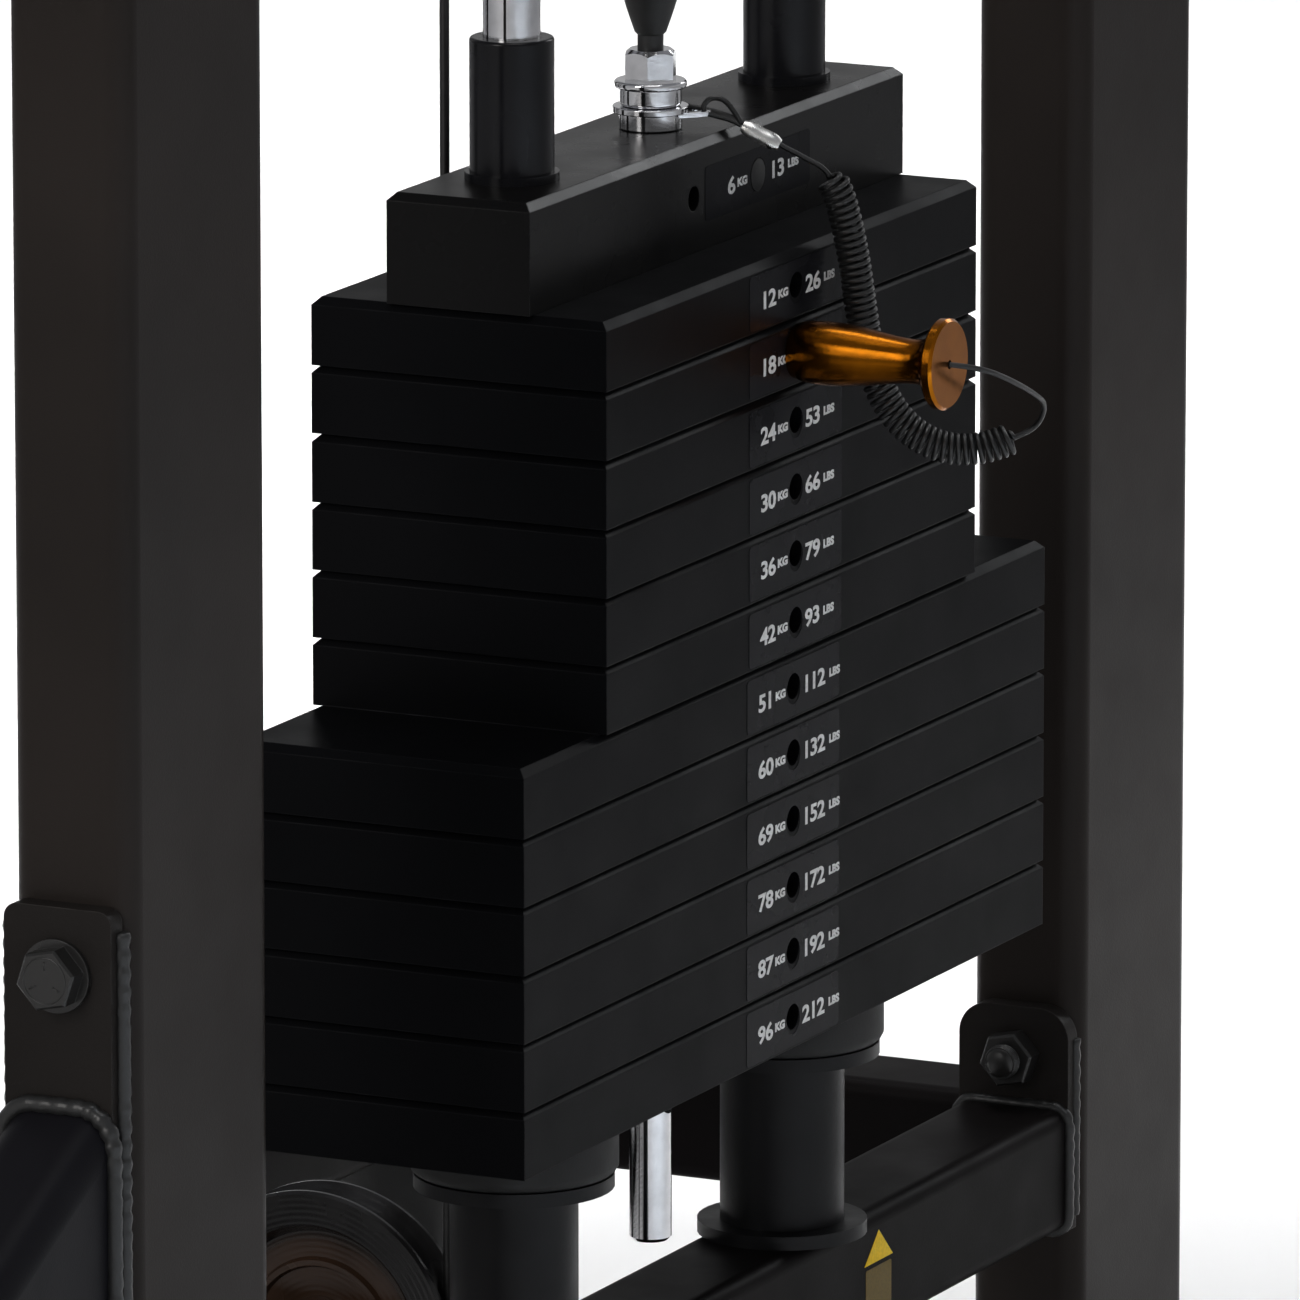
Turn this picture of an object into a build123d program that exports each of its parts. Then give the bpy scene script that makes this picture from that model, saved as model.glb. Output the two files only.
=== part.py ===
from build123d import *
import math
import os

# Cable crossover machine: two weight-stack towers that face away from each other, joined by an
# overhead beam. In each tower the lift cable runs from the stack over a top pulley, down behind
# the stack, round a bottom pulley and up to a floating pulley block. The user's cable starts at an
# anchor under the beam, passes under the floating pulley, over an exit pulley and down through a
# swivel to a stirrup handle, so the handle travels twice as far as the stack.
# Millimetres, +Z up, origin on the floor in the middle of the machine, Y from tower to tower.
# Every tower piece is drawn in tower coordinates: x = y = 0 on the stack's axis, +y towards the
# middle of the machine, z = 0 on the floor. The right tower is the left one turned half round.
# Each tower has one outrigger leg, bolted to its -x upright.

os.makedirs("parts", exist_ok=True)

TOWER_Y = 1700.0
TOWERS = {
    "left": Location((0, -TOWER_Y, 0)),
    "right": Location((0, 0, 0), (0, 0, 180)) * Location((0, -TOWER_Y, 0)),
}

# Weight stack
STACK_Z = 220.0
PLATE_T = 24.0
PLATE_EDGE = 2.8
SMALL_PLATE = (304.0, 113.5)
LARGE_PLATE = (430.0, 112.0)
LARGE_COUNT = 6
SMALL_COUNT = 6
LIFTED_COUNT = 2
LIFT_GAP = 0.3
PLATES_TOP = STACK_Z + (LARGE_COUNT + SMALL_COUNT) * PLATE_T
HEAD_PLATE = (304.0, 55.0, 39.0)
HEAD_BOTTOM = PLATES_TOP + LIFT_GAP
HEAD_TOP = HEAD_BOTTOM + HEAD_PLATE[2]
HEAD_SCREW = (-22.0, 4.5, 12.0)
HEAD_PLUG = (30.0, 6.0, 1.2)

# Guide rods, bushes and bumpers
ROD_X = 110.0
ROD_R = 10.0
ROD_HOLE_R = 12.0
BUSH_R = 14.75
BUSH_BORE_R = 10.06
BUSH_FLANGE_R = 16.5
BUSH_RISE = 50.0
PAD_R = 37.0
PAD_T = 26.0
SPOOL_R = 22.7
SPOOL_TOP_R = 35.5
SPOOL_FOOT_R = 31.0
SPOOL_FLANGE_T = 5.0

# Selector stem and pin
STEM_R = 7.6
STEM_HOLE_R = 9.0
STEM_DROP = 76.0
STEM_CROSS_R = 5.0
NUT_FLATS = 17.0
NUT_HEIGHT = 11.0
STEM_COLLARS = [
    (11.2, 0.0, 6.0, 0.6),
    (13.5, 6.0, 8.3, 0.4),
    (11.0, 8.3, 16.0, 1.4),
    (12.9, 14.6, 17.5, 1.1),
]
BOOT_GAP = 28.5
BOOT_HEIGHT = 92.0
PIN_R = 4.7
PIN_HOLE_R = 5.25
PIN_Z = PLATES_TOP - 1.5 * PLATE_T + LIFT_GAP
PIN_BULGE_R = 11.3
PIN_WAIST_R = 8.3
PIN_FLANGE_R = 16.2
PIN_FACE_GAP = 0.5
PIN_HANDLE = 59.0
PIN_FLANGE_T = 4.5

# Frame tubes
FRAME_Y = 3.5
UPRIGHT_X = 381.5
UPRIGHT = (105.0, 45.0)
UPRIGHT_CORNER = 10.0
WALL = 3.0
RAIL_DEPTH = 45.0
RAIL_HEIGHT = 47.0
RAIL_CORNER = 6.0
RAIL_TOP = STACK_Z - 98.0
RAIL_BOTTOM = RAIL_TOP - RAIL_HEIGHT
END_PLATE_T = 8.0
END_PLATE_TOP = STACK_Z - 60.0
FOOT_T = 10.0
GUIDE_RAIL_Z = 2000.0
BEAM_BOTTOM = 2180.0
BEAM = (50.0, 80.0)
REAR_Y = 281.0
SIDE_RAIL_X = 352.0
POST_X = 130.0
POST = (50.0, 45.0)
CAP_T = 10.0

# Outrigger legs
LEG = (40.0, 80.0)
LEG_CORNER = 12.0
LEG_ANGLE = 27.0
LEG_Z = STACK_Z + 25.0
LEG_END_X = 862.0
LEG_PLATE_W = 40.0
LEG_PLATE_T = 8.0
LEG_PLATE_Z = (130.0, STACK_Z + 138.0)
LEG_FOOT = (104.0, 60.0)
LEG_FOOT_X = LEG_END_X - 40.0
LEG_OVERRUN = 60.0
LEG_CUT_LENGTH = 620.0
BOLT_R = 6.0
BOLT_FLATS = 19.0
BOLT_HEAD_T = 7.5
BOLT_HOLE_R = 6.3
BOLT_WASHER_R = 12.5
BOLT_WASHER_T = 2.0
BOLT_NUT_T = 8.0
BOLT_REACH = 13.0
STUD_REACH = 16.0
FOOT_PLATE_T = 6.0
UPPER_BOLT_Z = STACK_Z + 115.0
LOWER_BOLT_Z = STACK_Z - 79.5

# Cables and pulleys
CABLE_R = 1.75
TURN_R = 50.0
TOP_TURN_R = 40.5
SWIVEL_TURN_R = 40.0
PULLEY_HALF = 10.0
PULLEY_LIP = 5.0
GROOVE_GAP = 0.4
AXLE_R = 5.0
AXLE_BORE_R = 5.06
HUB_R = 13.0
CHEEK_IN = 13.0
CHEEK_T = 4.0
TOP_PULLEY = (TOP_TURN_R, 2110.0)
BOTTOM_PULLEY = (2 * TOP_TURN_R + TURN_R, 94.0)
FLOAT_PULLEY = (2 * TOP_TURN_R + 2 * TURN_R, 900.0)
EXIT_PULLEY = (REAR_Y, 2110.0)
EXIT_Y = REAR_Y + TURN_R
ANCHOR_Y = 2 * TOP_TURN_R + TURN_R
ANCHOR_R = 5.0
SWIVEL_PULLEY = (EXIT_Y + SWIVEL_TURN_R, 1930.0)
BLOCK_EYE_Z = FLOAT_PULLEY[1] - 85.0
BLOCK_T = 16.0
CHEEK_W = 44.0
CRADLE_H = 26.0
NUT_ROOM = 7.0

# Swivel, stop, carabiner and handle
PIVOT_R = 10.0
PIVOT_BORE_R = 10.06
PIVOT_HOLE_R = 3.0
SWIVEL_SHELF_Z = 1996.0
SWIVEL_SHELF_T = 12.0
SWIVEL_PLATE_T = 11.5
SWIVEL_DROP = 12.0
SHELF_REACH = 28.0
CABLE_HOLE_R = 8.0
STOP_R = 16.0
STOP_Z = 1862.0
LINK_TOP = 1834.0
LINK_LENGTH = 56.0
LINK_WIRE_R = 4.0
LINK_HALF = 17.0
STRAP_HALF = 72.0
STRAP_T = 3.0
STRAP_W = 22.0
GRIP_Z = 1652.0
GRIP_R = 16.5
GRIP_BORE_R = 12.0
GRIP_LENGTH = 118.0

# Lanyard of the selector pin: thin leads of 2 mm cord and a curly stretch 12 mm across.
LEAD_R = 1.0
CURL_R = 6.0
LEAD_IN = [(10, -10, 334.2), (13, -24, 332.5), (15.5, -36, 325), (20, -49, 318), (24, -60, 312)]
CURL = [
    (24, -60, 312),
    (28, -65.5, 286),
    (30.5, -68, 260),
    (31, -72, 240),
    (33, -80.5, 223.5),
    (38, -93, 214),
    (45, -106, 212.5),
    (52, -118, 217),
]
LEAD_OUT = [
    (52, -118, 217),
    (56, -125, 221),
    (52, -130, 230),
    (40, -131, 236),
    (22, -130, 244),
    (6, -125, 251),
    (0, -115.8, 252.3),
]


def save(name, piece):
    """Label a finished piece and write it as one node."""
    piece.label = name
    export_step(piece, f"parts/{name}.step")


def save_each(name, piece):
    """Write a tower's piece as two nodes, one for each tower."""
    for side, place in TOWERS.items():
        save(f"{side}_{name}", piece.moved(place))


def both_towers(pieces):
    """The solids of both towers, gathered as one group."""
    placed = [piece.moved(place) for piece in pieces for place in TOWERS.values()]
    return Compound([solid for piece in placed for solid in piece.solids()])


def tube(plane, size, corner, length, wall=WALL):
    """Rounded rectangular tube along the plane's normal."""
    with BuildPart() as piece:
        with BuildSketch(plane):
            RectangleRounded(size[0], size[1], corner)
            RectangleRounded(size[0] - 2 * wall, size[1] - 2 * wall, corner - wall, mode=Mode.SUBTRACT)
        extrude(amount=length)
    return piece.part


def disc(centre, radius, bottom, height, bore=0.0):
    """Upright disc or ring."""
    with BuildPart() as piece:
        with BuildSketch(Plane.XY.offset(bottom)):
            with Locations(centre):
                Circle(radius)
                if bore:
                    Circle(bore, mode=Mode.SUBTRACT)
        extrude(amount=height)
    return piece.part


def cross_plane(y, z, x=0.0):
    """Plane square to X at a point: its own x axis is Y and its own y axis is Z."""
    return Plane(origin=(x, y, z), x_dir=(0, 1, 0), z_dir=(1, 0, 0))


def rod_along_x(y, z, radius, start, end):
    """Round bar parallel to X."""
    with BuildPart() as piece:
        with BuildSketch(cross_plane(y, z, start)):
            Circle(radius)
        extrude(amount=end - start)
    return piece.part


def pulley(centre, turn_r, half=PULLEY_HALF):
    """Cable pulley with its axis along X: grooved rim, thin web with two rings, and hub."""
    y, z = centre
    rim_r = turn_r + PULLEY_LIP
    groove_r = turn_r - CABLE_R - GROOVE_GAP
    groove_half = CABLE_R + GROOVE_GAP
    inner_r = groove_r - 6.0
    web = 3.0
    ring_r = (inner_r + HUB_R) / 2
    with BuildPart() as wheel:
        with BuildSketch(Plane(origin=(0, y, z), x_dir=(1, 0, 0), z_dir=(0, -1, 0))):
            with BuildLine():
                Polyline(
                    (0, AXLE_BORE_R),
                    (half + 1.5, AXLE_BORE_R),
                    (half + 1.5, HUB_R - 1),
                    (half + 0.5, HUB_R),
                    (web, HUB_R + 2),
                    (web, ring_r - 2),
                    (web + 2, ring_r - 1),
                    (web + 2, ring_r + 1),
                    (web, ring_r + 2),
                    (web, inner_r - 3),
                    (half - 1.0, inner_r),
                    (half, inner_r + 1),
                    (half, rim_r - 1),
                    (half - 1, rim_r),
                    (half - 2.5, rim_r),
                    (groove_half, groove_r + 1.5),
                    (groove_half - 0.8, groove_r),
                    (0, groove_r),
                    close=True,
                )
            make_face()
            mirror(about=Plane.YZ)
        revolve(axis=Axis((0, y, z), (1, 0, 0)))
    return wheel.part


def cable(path):
    """Wire rope along a path of tangent lines and arcs."""
    with BuildPart() as rope:
        with BuildLine():
            add(path)
        with BuildSketch(Plane(origin=path @ 0, z_dir=path % 0)):
            Circle(CABLE_R)
        sweep()
    return rope.part


def straight_cable(y, low, high):
    """Upright stretch of wire rope at x = 0."""
    return disc((0, y), CABLE_R, low, high - low)


def soft_tube(points, radius, name):
    """Tube of a free cord: straight runs joined by arcs as large as the runs allow."""
    route = [Vector(x, y, z + STACK_Z) for x, y, z in points]
    radii = []
    for before, corner, after in zip(route, route[1:], route[2:]):
        run_in = corner - before
        run_out = after - corner
        turn = math.radians(run_in.get_angle(run_out))
        radii.append(0.45 * min(run_in.length, run_out.length) / math.tan(turn / 2))
    print(name, "bend radii", [round(r, 1) for r in radii])
    with BuildPart() as piece:
        with BuildLine() as line:
            FilletPolyline(*route, radius=radii)
        path = line.wires()[0]
        with BuildSketch(Plane(origin=path @ 0, z_dir=path % 0)):
            Circle(radius)
        sweep(path=path)
    length = path.length
    section = math.pi * radius**2
    print(name, "length", round(length, 1), "volume ratio", round(piece.part.volume / (section * length), 4))
    return piece.part


# ---- weight plates


def weight_plate(size, bottom):
    """Steel plate with chamfered top edges, rod and stem holes and the pin hole in its front."""
    with BuildPart() as plate:
        with BuildSketch(Plane.XY.offset(bottom)):
            Rectangle(*size)
        extrude(amount=PLATE_T)
        chamfer(plate.faces().sort_by(Axis.Z)[-1].edges(), PLATE_EDGE)
        with BuildSketch(Plane.XY.offset(bottom)):
            Circle(STEM_HOLE_R)
            with Locations((-ROD_X, 0), (ROD_X, 0)):
                Circle(ROD_HOLE_R)
        extrude(amount=PLATE_T, mode=Mode.SUBTRACT)
        with BuildSketch(Plane.XZ):
            with Locations((0, bottom + PLATE_T / 2)):
                Circle(PIN_HOLE_R)
        extrude(amount=size[1], mode=Mode.SUBTRACT)
    return plate.part


large_plates = [weight_plate(LARGE_PLATE, STACK_Z + i * PLATE_T) for i in range(LARGE_COUNT)]
small_bottom = STACK_Z + LARGE_COUNT * PLATE_T
small_plates = [
    weight_plate(SMALL_PLATE, small_bottom + i * PLATE_T) for i in range(SMALL_COUNT - LIFTED_COUNT)
]
save("resting_plates", both_towers(large_plates + small_plates))

lifted_bottom = PLATES_TOP - LIFTED_COUNT * PLATE_T + LIFT_GAP
lifted_plates = [weight_plate(SMALL_PLATE, lifted_bottom + i * PLATE_T) for i in range(LIFTED_COUNT)]
save_each("lifted_plates", Compound([solid for plate in lifted_plates for solid in plate.solids()]))

with BuildPart() as head_plate:
    with BuildSketch(Plane.XY.offset(HEAD_BOTTOM)):
        Rectangle(HEAD_PLATE[0], HEAD_PLATE[1])
    extrude(amount=HEAD_PLATE[2])
    chamfer(head_plate.faces().sort_by(Axis.Z)[-1].edges(), PLATE_EDGE)
    with BuildSketch(Plane.XY.offset(HEAD_BOTTOM)):
        Circle(STEM_R + 0.05)
        with Locations((-ROD_X, 0), (ROD_X, 0)):
            Circle(BUSH_R - 2.0)
    extrude(amount=HEAD_PLATE[2], mode=Mode.SUBTRACT)
    for spot_x, spot_r, depth in (HEAD_SCREW, HEAD_PLUG):
        with BuildSketch(Plane.XZ.offset(HEAD_PLATE[1] / 2 - depth)):
            with Locations((spot_x, HEAD_BOTTOM + HEAD_PLATE[2] / 2)):
                Circle(spot_r)
        extrude(amount=depth, mode=Mode.SUBTRACT)
save_each("head_plate", head_plate.part)

with BuildPart() as guide_bushes:
    with BuildSketch(Plane.XY.offset(HEAD_BOTTOM + 1)):
        with Locations((-ROD_X, 0), (ROD_X, 0)):
            Circle(BUSH_R - 2.1)
    extrude(amount=HEAD_PLATE[2])
    with BuildSketch(Plane.XY.offset(HEAD_TOP)):
        with Locations((-ROD_X, 0), (ROD_X, 0)):
            Circle(BUSH_R)
    extrude(amount=BUSH_RISE)
    fillet(guide_bushes.edges().group_by(Axis.Z)[-1], 1.2)
    with BuildSketch(Plane.XY.offset(HEAD_TOP)):
        with Locations((-ROD_X, 0), (ROD_X, 0)):
            Circle(BUSH_FLANGE_R)
    extrude(amount=3)
    with BuildSketch(Plane.XY.offset(HEAD_BOTTOM)):
        with Locations((-ROD_X, 0), (ROD_X, 0)):
            Circle(BUSH_BORE_R)
    extrude(amount=HEAD_PLATE[2] + BUSH_RISE + 2, mode=Mode.SUBTRACT)
save_each("guide_bushes", guide_bushes.part)

# ---- selector stem, boot and pin

stem_levels = [STACK_Z + (i + 0.5) * PLATE_T for i in range(LARGE_COUNT + SMALL_COUNT)]
nut_bottom = HEAD_TOP + STEM_COLLARS[-1][2]
with BuildPart() as nut_blank:
    with BuildSketch(Plane.XY.offset(nut_bottom)):
        Circle(NUT_FLATS * 0.58)
    extrude(amount=NUT_HEIGHT)
    chamfer(nut_blank.faces().sort_by(Axis.Z)[-1].edges(), 2.0, 2.4)
with BuildPart() as selector_stem:
    with BuildSketch(Plane.XY.offset(STACK_Z - STEM_DROP)):
        Circle(STEM_R)
    extrude(amount=HEAD_TOP + 12 - STACK_Z + STEM_DROP)
    chamfer(selector_stem.edges().sort_by(Axis.Z)[0], 1.5)
    for radius, low, high, rounding in STEM_COLLARS:
        with BuildSketch(Plane.XY.offset(HEAD_TOP + low)):
            Circle(radius)
        collar = extrude(amount=high - low, mode=Mode.PRIVATE)
        add(collar.fillet(rounding, collar.edges().filter_by(GeomType.CIRCLE)))
    with BuildSketch(Plane.XY.offset(nut_bottom)):
        RegularPolygon(NUT_FLATS / 2, 6, major_radius=False, rotation=20)
    nut = extrude(amount=NUT_HEIGHT, mode=Mode.PRIVATE)
    add(nut.intersect(nut_blank.part))
    for level in [STACK_Z - PLATE_T] + stem_levels:
        with BuildSketch(Plane.XZ.offset(-STEM_R - 1)):
            with Locations((0, level)):
                Circle(STEM_CROSS_R)
        extrude(amount=2 * STEM_R + 2, mode=Mode.SUBTRACT)
save_each("selector_stem", selector_stem.part)

BOOT_BOTTOM = HEAD_TOP + BOOT_GAP
BOOT_TOP = BOOT_BOTTOM + BOOT_HEIGHT
with BuildPart() as cable_boot:
    with BuildSketch(Plane.XZ):
        with BuildLine():
            Polyline((0, BOOT_BOTTOM), (4.6, BOOT_BOTTOM), (4.6, BOOT_BOTTOM + 5), (5.6, BOOT_BOTTOM + 6))
            Spline(
                (5.6, BOOT_BOTTOM + 6),
                (10.4, BOOT_BOTTOM + 22),
                (10.9, BOOT_BOTTOM + 50),
                (6.0, BOOT_TOP - 4),
                tangents=[(0.35, 1), (-0.3, 1)],
            )
            Polyline((6.0, BOOT_TOP - 4), (4.5, BOOT_TOP), (0, BOOT_TOP), (0, BOOT_BOTTOM))
        make_face()
    revolve(axis=Axis.Z)
save_each("cable_boot", cable_boot.part)

pin_start = SMALL_PLATE[1] / 2 + PIN_FACE_GAP
pin_end = pin_start + PIN_HANDLE
with BuildPart() as selector_pin:
    with BuildSketch(Plane.YZ.offset(0)):
        with BuildLine():
            Polyline(
                (STEM_R, PIN_Z),
                (STEM_R, PIN_Z + PIN_R - 1),
                (STEM_R - 1.0, PIN_Z + PIN_R),
                (-pin_start, PIN_Z + PIN_R),
                (-pin_start, PIN_Z + PIN_BULGE_R - 1.6),
            )
            Spline(
                (-pin_start, PIN_Z + PIN_BULGE_R - 1.6),
                (-pin_start - 15, PIN_Z + PIN_BULGE_R),
                (-pin_start - 40, PIN_Z + PIN_WAIST_R),
                (-pin_end + PIN_FLANGE_T + 3, PIN_Z + PIN_WAIST_R + 1.2),
                (-pin_end + PIN_FLANGE_T, PIN_Z + PIN_FLANGE_R - 1),
                tangents=[(-1, 0.35), (-0.25, 1)],
            )
            Polyline(
                (-pin_end + PIN_FLANGE_T, PIN_Z + PIN_FLANGE_R - 1),
                (-pin_end + PIN_FLANGE_T - 1, PIN_Z + PIN_FLANGE_R),
                (-pin_end + 1, PIN_Z + PIN_FLANGE_R),
                (-pin_end, PIN_Z + PIN_FLANGE_R - 1),
                (-pin_end, PIN_Z + 1.6),
                (-pin_end + 6, PIN_Z + 1.6),
                (-pin_end + 6, PIN_Z),
                (STEM_R, PIN_Z),
            )
        make_face()
    revolve(axis=Axis((0, 0, PIN_Z), (0, 1, 0)))
save_each("selector_pin", selector_pin.part)

lead_in = soft_tube(LEAD_IN, LEAD_R, "lanyard lead in")
curl = soft_tube(CURL, CURL_R, "lanyard curl")
lead_out = soft_tube(LEAD_OUT, LEAD_R, "lanyard lead out")
save_each("lanyard", lead_in.fuse(curl).fuse(lead_out))

# ---- guide rods and bumpers

rods = [disc((x, 0), ROD_R, RAIL_TOP, GUIDE_RAIL_Z - RAIL_TOP) for x in (-ROD_X, ROD_X)]
save("guide_rods", both_towers(rods))


def bumper_spool(x):
    """Flanged sleeve on the foot of a guide rod."""
    with BuildPart() as spool:
        with BuildSketch(Plane.XY.offset(RAIL_TOP)):
            with Locations((x, 0)):
                Circle(SPOOL_FOOT_R)
        extrude(amount=SPOOL_FLANGE_T)
        with BuildSketch(Plane.XY.offset(RAIL_TOP)):
            with Locations((x, 0)):
                Circle(SPOOL_R)
        extrude(amount=STACK_Z - PAD_T - RAIL_TOP)
        with BuildSketch(Plane.XY.offset(STACK_Z - PAD_T - SPOOL_FLANGE_T)):
            with Locations((x, 0)):
                Circle(SPOOL_TOP_R)
        extrude(amount=SPOOL_FLANGE_T)
        with BuildSketch(Plane.XY.offset(RAIL_TOP)):
            with Locations((x, 0)):
                Circle(ROD_R + 0.1)
        extrude(amount=STACK_Z - PAD_T - RAIL_TOP, mode=Mode.SUBTRACT)
    return spool.part


def bumper_pad(x):
    """Rubber ring that the lowest plate lands on."""
    with BuildPart() as pad:
        with BuildSketch(Plane.XY.offset(STACK_Z - PAD_T)):
            with Locations((x, 0)):
                Circle(PAD_R)
        extrude(amount=PAD_T)
        fillet(pad.edges(), 4)
        with BuildSketch(Plane.XY.offset(STACK_Z - PAD_T)):
            with Locations((x, 0)):
                Circle(ROD_R + 0.2)
        extrude(amount=PAD_T, mode=Mode.SUBTRACT)
    return pad.part


save("bumper_spools", both_towers([bumper_spool(x) for x in (-ROD_X, ROD_X)]))
save("bumper_pads", both_towers([bumper_pad(x) for x in (-ROD_X, ROD_X)]))

# ---- frame

inner_x = UPRIGHT_X - UPRIGHT[0] / 2
outer_x = UPRIGHT_X + UPRIGHT[0] / 2


def outward_plane(side, x, z=0.0):
    """Plane square to X that faces away from the tower's middle, on the frame's centre line."""
    return Plane(origin=(side * x, FRAME_Y, z), x_dir=(0, side, 0), z_dir=(side, 0, 0))


def upright(side, bolt_holes):
    """Upright tube. Each bolt hole is (x where it starts, z, x where it ends)."""
    foot = Plane(origin=(side * UPRIGHT_X, FRAME_Y, FOOT_T))
    with BuildPart() as post:
        add(tube(foot, UPRIGHT, UPRIGHT_CORNER, BEAM_BOTTOM - FOOT_T))
        for start, z, end in bolt_holes:
            with BuildSketch(outward_plane(side, start, z)):
                Circle(BOLT_HOLE_R)
            extrude(amount=end - start, mode=Mode.SUBTRACT)
    return post.part


leg_upright = upright(-1, [(0, LOWER_BOLT_Z, outer_x), (UPRIGHT_X, UPPER_BOLT_Z, outer_x)])
plain_upright = upright(1, [(0, LOWER_BOLT_Z, UPRIGHT_X)])
save("uprights", both_towers([leg_upright, plain_upright]))

rail_section = (RAIL_DEPTH, RAIL_HEIGHT)
rail_mid_z = RAIL_TOP - RAIL_HEIGHT / 2
rail_half = inner_x - END_PLATE_T
side_start = FRAME_Y + RAIL_DEPTH / 2
side_end = REAR_Y - RAIL_DEPTH / 2


def cross_rail(y, mid_z, half, section=rail_section):
    """Tube parallel to X, centred on the tower's middle."""
    return tube(cross_plane(y, mid_z, -half), section, RAIL_CORNER, 2 * half)


def side_rail(x):
    """Tube parallel to Y from the lower rail to the rear rail."""
    start = Plane(origin=(x, side_start, rail_mid_z), x_dir=(1, 0, 0), z_dir=(0, 1, 0))
    return tube(start, rail_section, RAIL_CORNER, side_end - side_start)


with BuildPart() as guide_rail:
    add(cross_rail(FRAME_Y, GUIDE_RAIL_Z + RAIL_HEIGHT / 2, inner_x))
    with BuildSketch(Plane.XY.offset(GUIDE_RAIL_Z)):
        Circle(CABLE_HOLE_R)
    extrude(amount=RAIL_HEIGHT, mode=Mode.SUBTRACT)
rails = [
    cross_rail(FRAME_Y, rail_mid_z, rail_half),
    guide_rail.part,
    cross_rail(FRAME_Y, BEAM_BOTTOM + BEAM[1] / 2, outer_x, (RAIL_DEPTH, BEAM[1])),
    cross_rail(REAR_Y, rail_mid_z, SIDE_RAIL_X + RAIL_DEPTH / 2),
    side_rail(-SIDE_RAIL_X),
    side_rail(SIDE_RAIL_X),
]
save("frame_rails", both_towers(rails))


def rear_post(x):
    """Post between the rear rail and its cap plate under the beam."""
    return tube(Plane(origin=(x, REAR_Y, RAIL_TOP)), POST, RAIL_CORNER, BEAM_BOTTOM - CAP_T - RAIL_TOP)


save("rear_posts", both_towers([rear_post(-POST_X), rear_post(POST_X)]))

beam_half = TOWER_Y - side_start
beam_start = Plane(origin=(0, -beam_half, BEAM_BOTTOM + BEAM[1] / 2), x_dir=(1, 0, 0), z_dir=(0, 1, 0))
save("overhead_beam", tube(beam_start, BEAM, RAIL_CORNER, 2 * beam_half))


def end_plate(side):
    """Bolted plate that closes an end of the lower rail, with rounded top corners and a bolt hole."""
    start = rail_half if side > 0 else -inner_x
    with BuildPart() as plate:
        with BuildSketch(cross_plane(FRAME_Y, 0, start)):
            with Locations((0, (RAIL_BOTTOM + END_PLATE_TOP) / 2)):
                Rectangle(RAIL_DEPTH, END_PLATE_TOP - RAIL_BOTTOM)
        extrude(amount=END_PLATE_T)
        fillet(plate.edges().filter_by(Axis.X).group_by(Axis.Z)[-1], 12)
        with BuildSketch(cross_plane(FRAME_Y, LOWER_BOLT_Z, start)):
            Circle(BOLT_HOLE_R)
        extrude(amount=END_PLATE_T, mode=Mode.SUBTRACT)
    return plate.part


with BuildPart() as leg_plate:
    with BuildSketch(outward_plane(-1, outer_x)):
        with Locations((0, sum(LEG_PLATE_Z) / 2)):
            Rectangle(LEG_PLATE_W, LEG_PLATE_Z[1] - LEG_PLATE_Z[0])
    extrude(amount=LEG_PLATE_T)
    fillet(leg_plate.edges().filter_by(Axis.X), 5)
    with BuildSketch(outward_plane(-1, outer_x)):
        with Locations((0, UPPER_BOLT_Z), (0, LOWER_BOLT_Z)):
            Circle(BOLT_HOLE_R)
    extrude(amount=LEG_PLATE_T, mode=Mode.SUBTRACT)
save("bolted_plates", both_towers([end_plate(-1), end_plate(1), leg_plate.part]))

# The leg slants down from its plate to the floor and is cut upright at its end and flat below.
plate_face = outer_x + LEG_PLATE_T
leg_slope = math.radians(LEG_ANGLE)
leg_start = (LEG_OVERRUN - plate_face, FRAME_Y, LEG_Z + LEG_OVERRUN * math.tan(leg_slope))
leg_way = (-math.cos(leg_slope), 0, -math.sin(leg_slope))
with BuildPart() as outrigger_leg:
    add(tube(Plane(origin=leg_start, x_dir=(0, 1, 0), z_dir=leg_way), LEG, LEG_CORNER, LEG_CUT_LENGTH))
    split(bisect_by=Plane(origin=(-plate_face, 0, 0), z_dir=(-1, 0, 0)))
    split(bisect_by=Plane(origin=(-LEG_END_X, 0, 0), z_dir=(1, 0, 0)))
    split(bisect_by=Plane.XY.offset(FOOT_T + FOOT_PLATE_T))
with BuildPart() as leg_foot:
    with BuildSketch(Plane.XY.offset(FOOT_T)):
        with Locations((-LEG_FOOT_X, FRAME_Y)):
            RectangleRounded(LEG_FOOT[0], LEG_FOOT[1], 8)
    extrude(amount=FOOT_PLATE_T)
save("outrigger_legs", both_towers([outrigger_leg.part, leg_foot.part]))


def hexagon(plane, thickness):
    """Bolt head or nut of the frame's bolts, with its far face chamfered."""
    with BuildPart() as piece:
        with BuildSketch(plane):
            RegularPolygon(BOLT_FLATS / 2, 6, major_radius=False, rotation=12)
        extrude(amount=thickness)
        chamfer(piece.faces().sort_by(Axis(plane.origin, plane.z_dir))[-1].edges(), 0.8)
    return piece.part


def shank(side, start, end, z):
    """Round shank along X between two distances from the tower's middle."""
    return rod_along_x(FRAME_Y, z, BOLT_R, min(side * start, side * end), max(side * start, side * end))


def leg_bolt(z, tip_x):
    """Hex bolt with its washer under the head, through the leg's plate."""
    with BuildPart() as bolt:
        add(shank(-1, tip_x, plate_face, z))
        with BuildSketch(outward_plane(-1, plate_face, z)):
            Circle(BOLT_WASHER_R)
        extrude(amount=BOLT_WASHER_T)
        add(hexagon(outward_plane(-1, plate_face + BOLT_WASHER_T, z), BOLT_HEAD_T))
    return bolt.part


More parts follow.
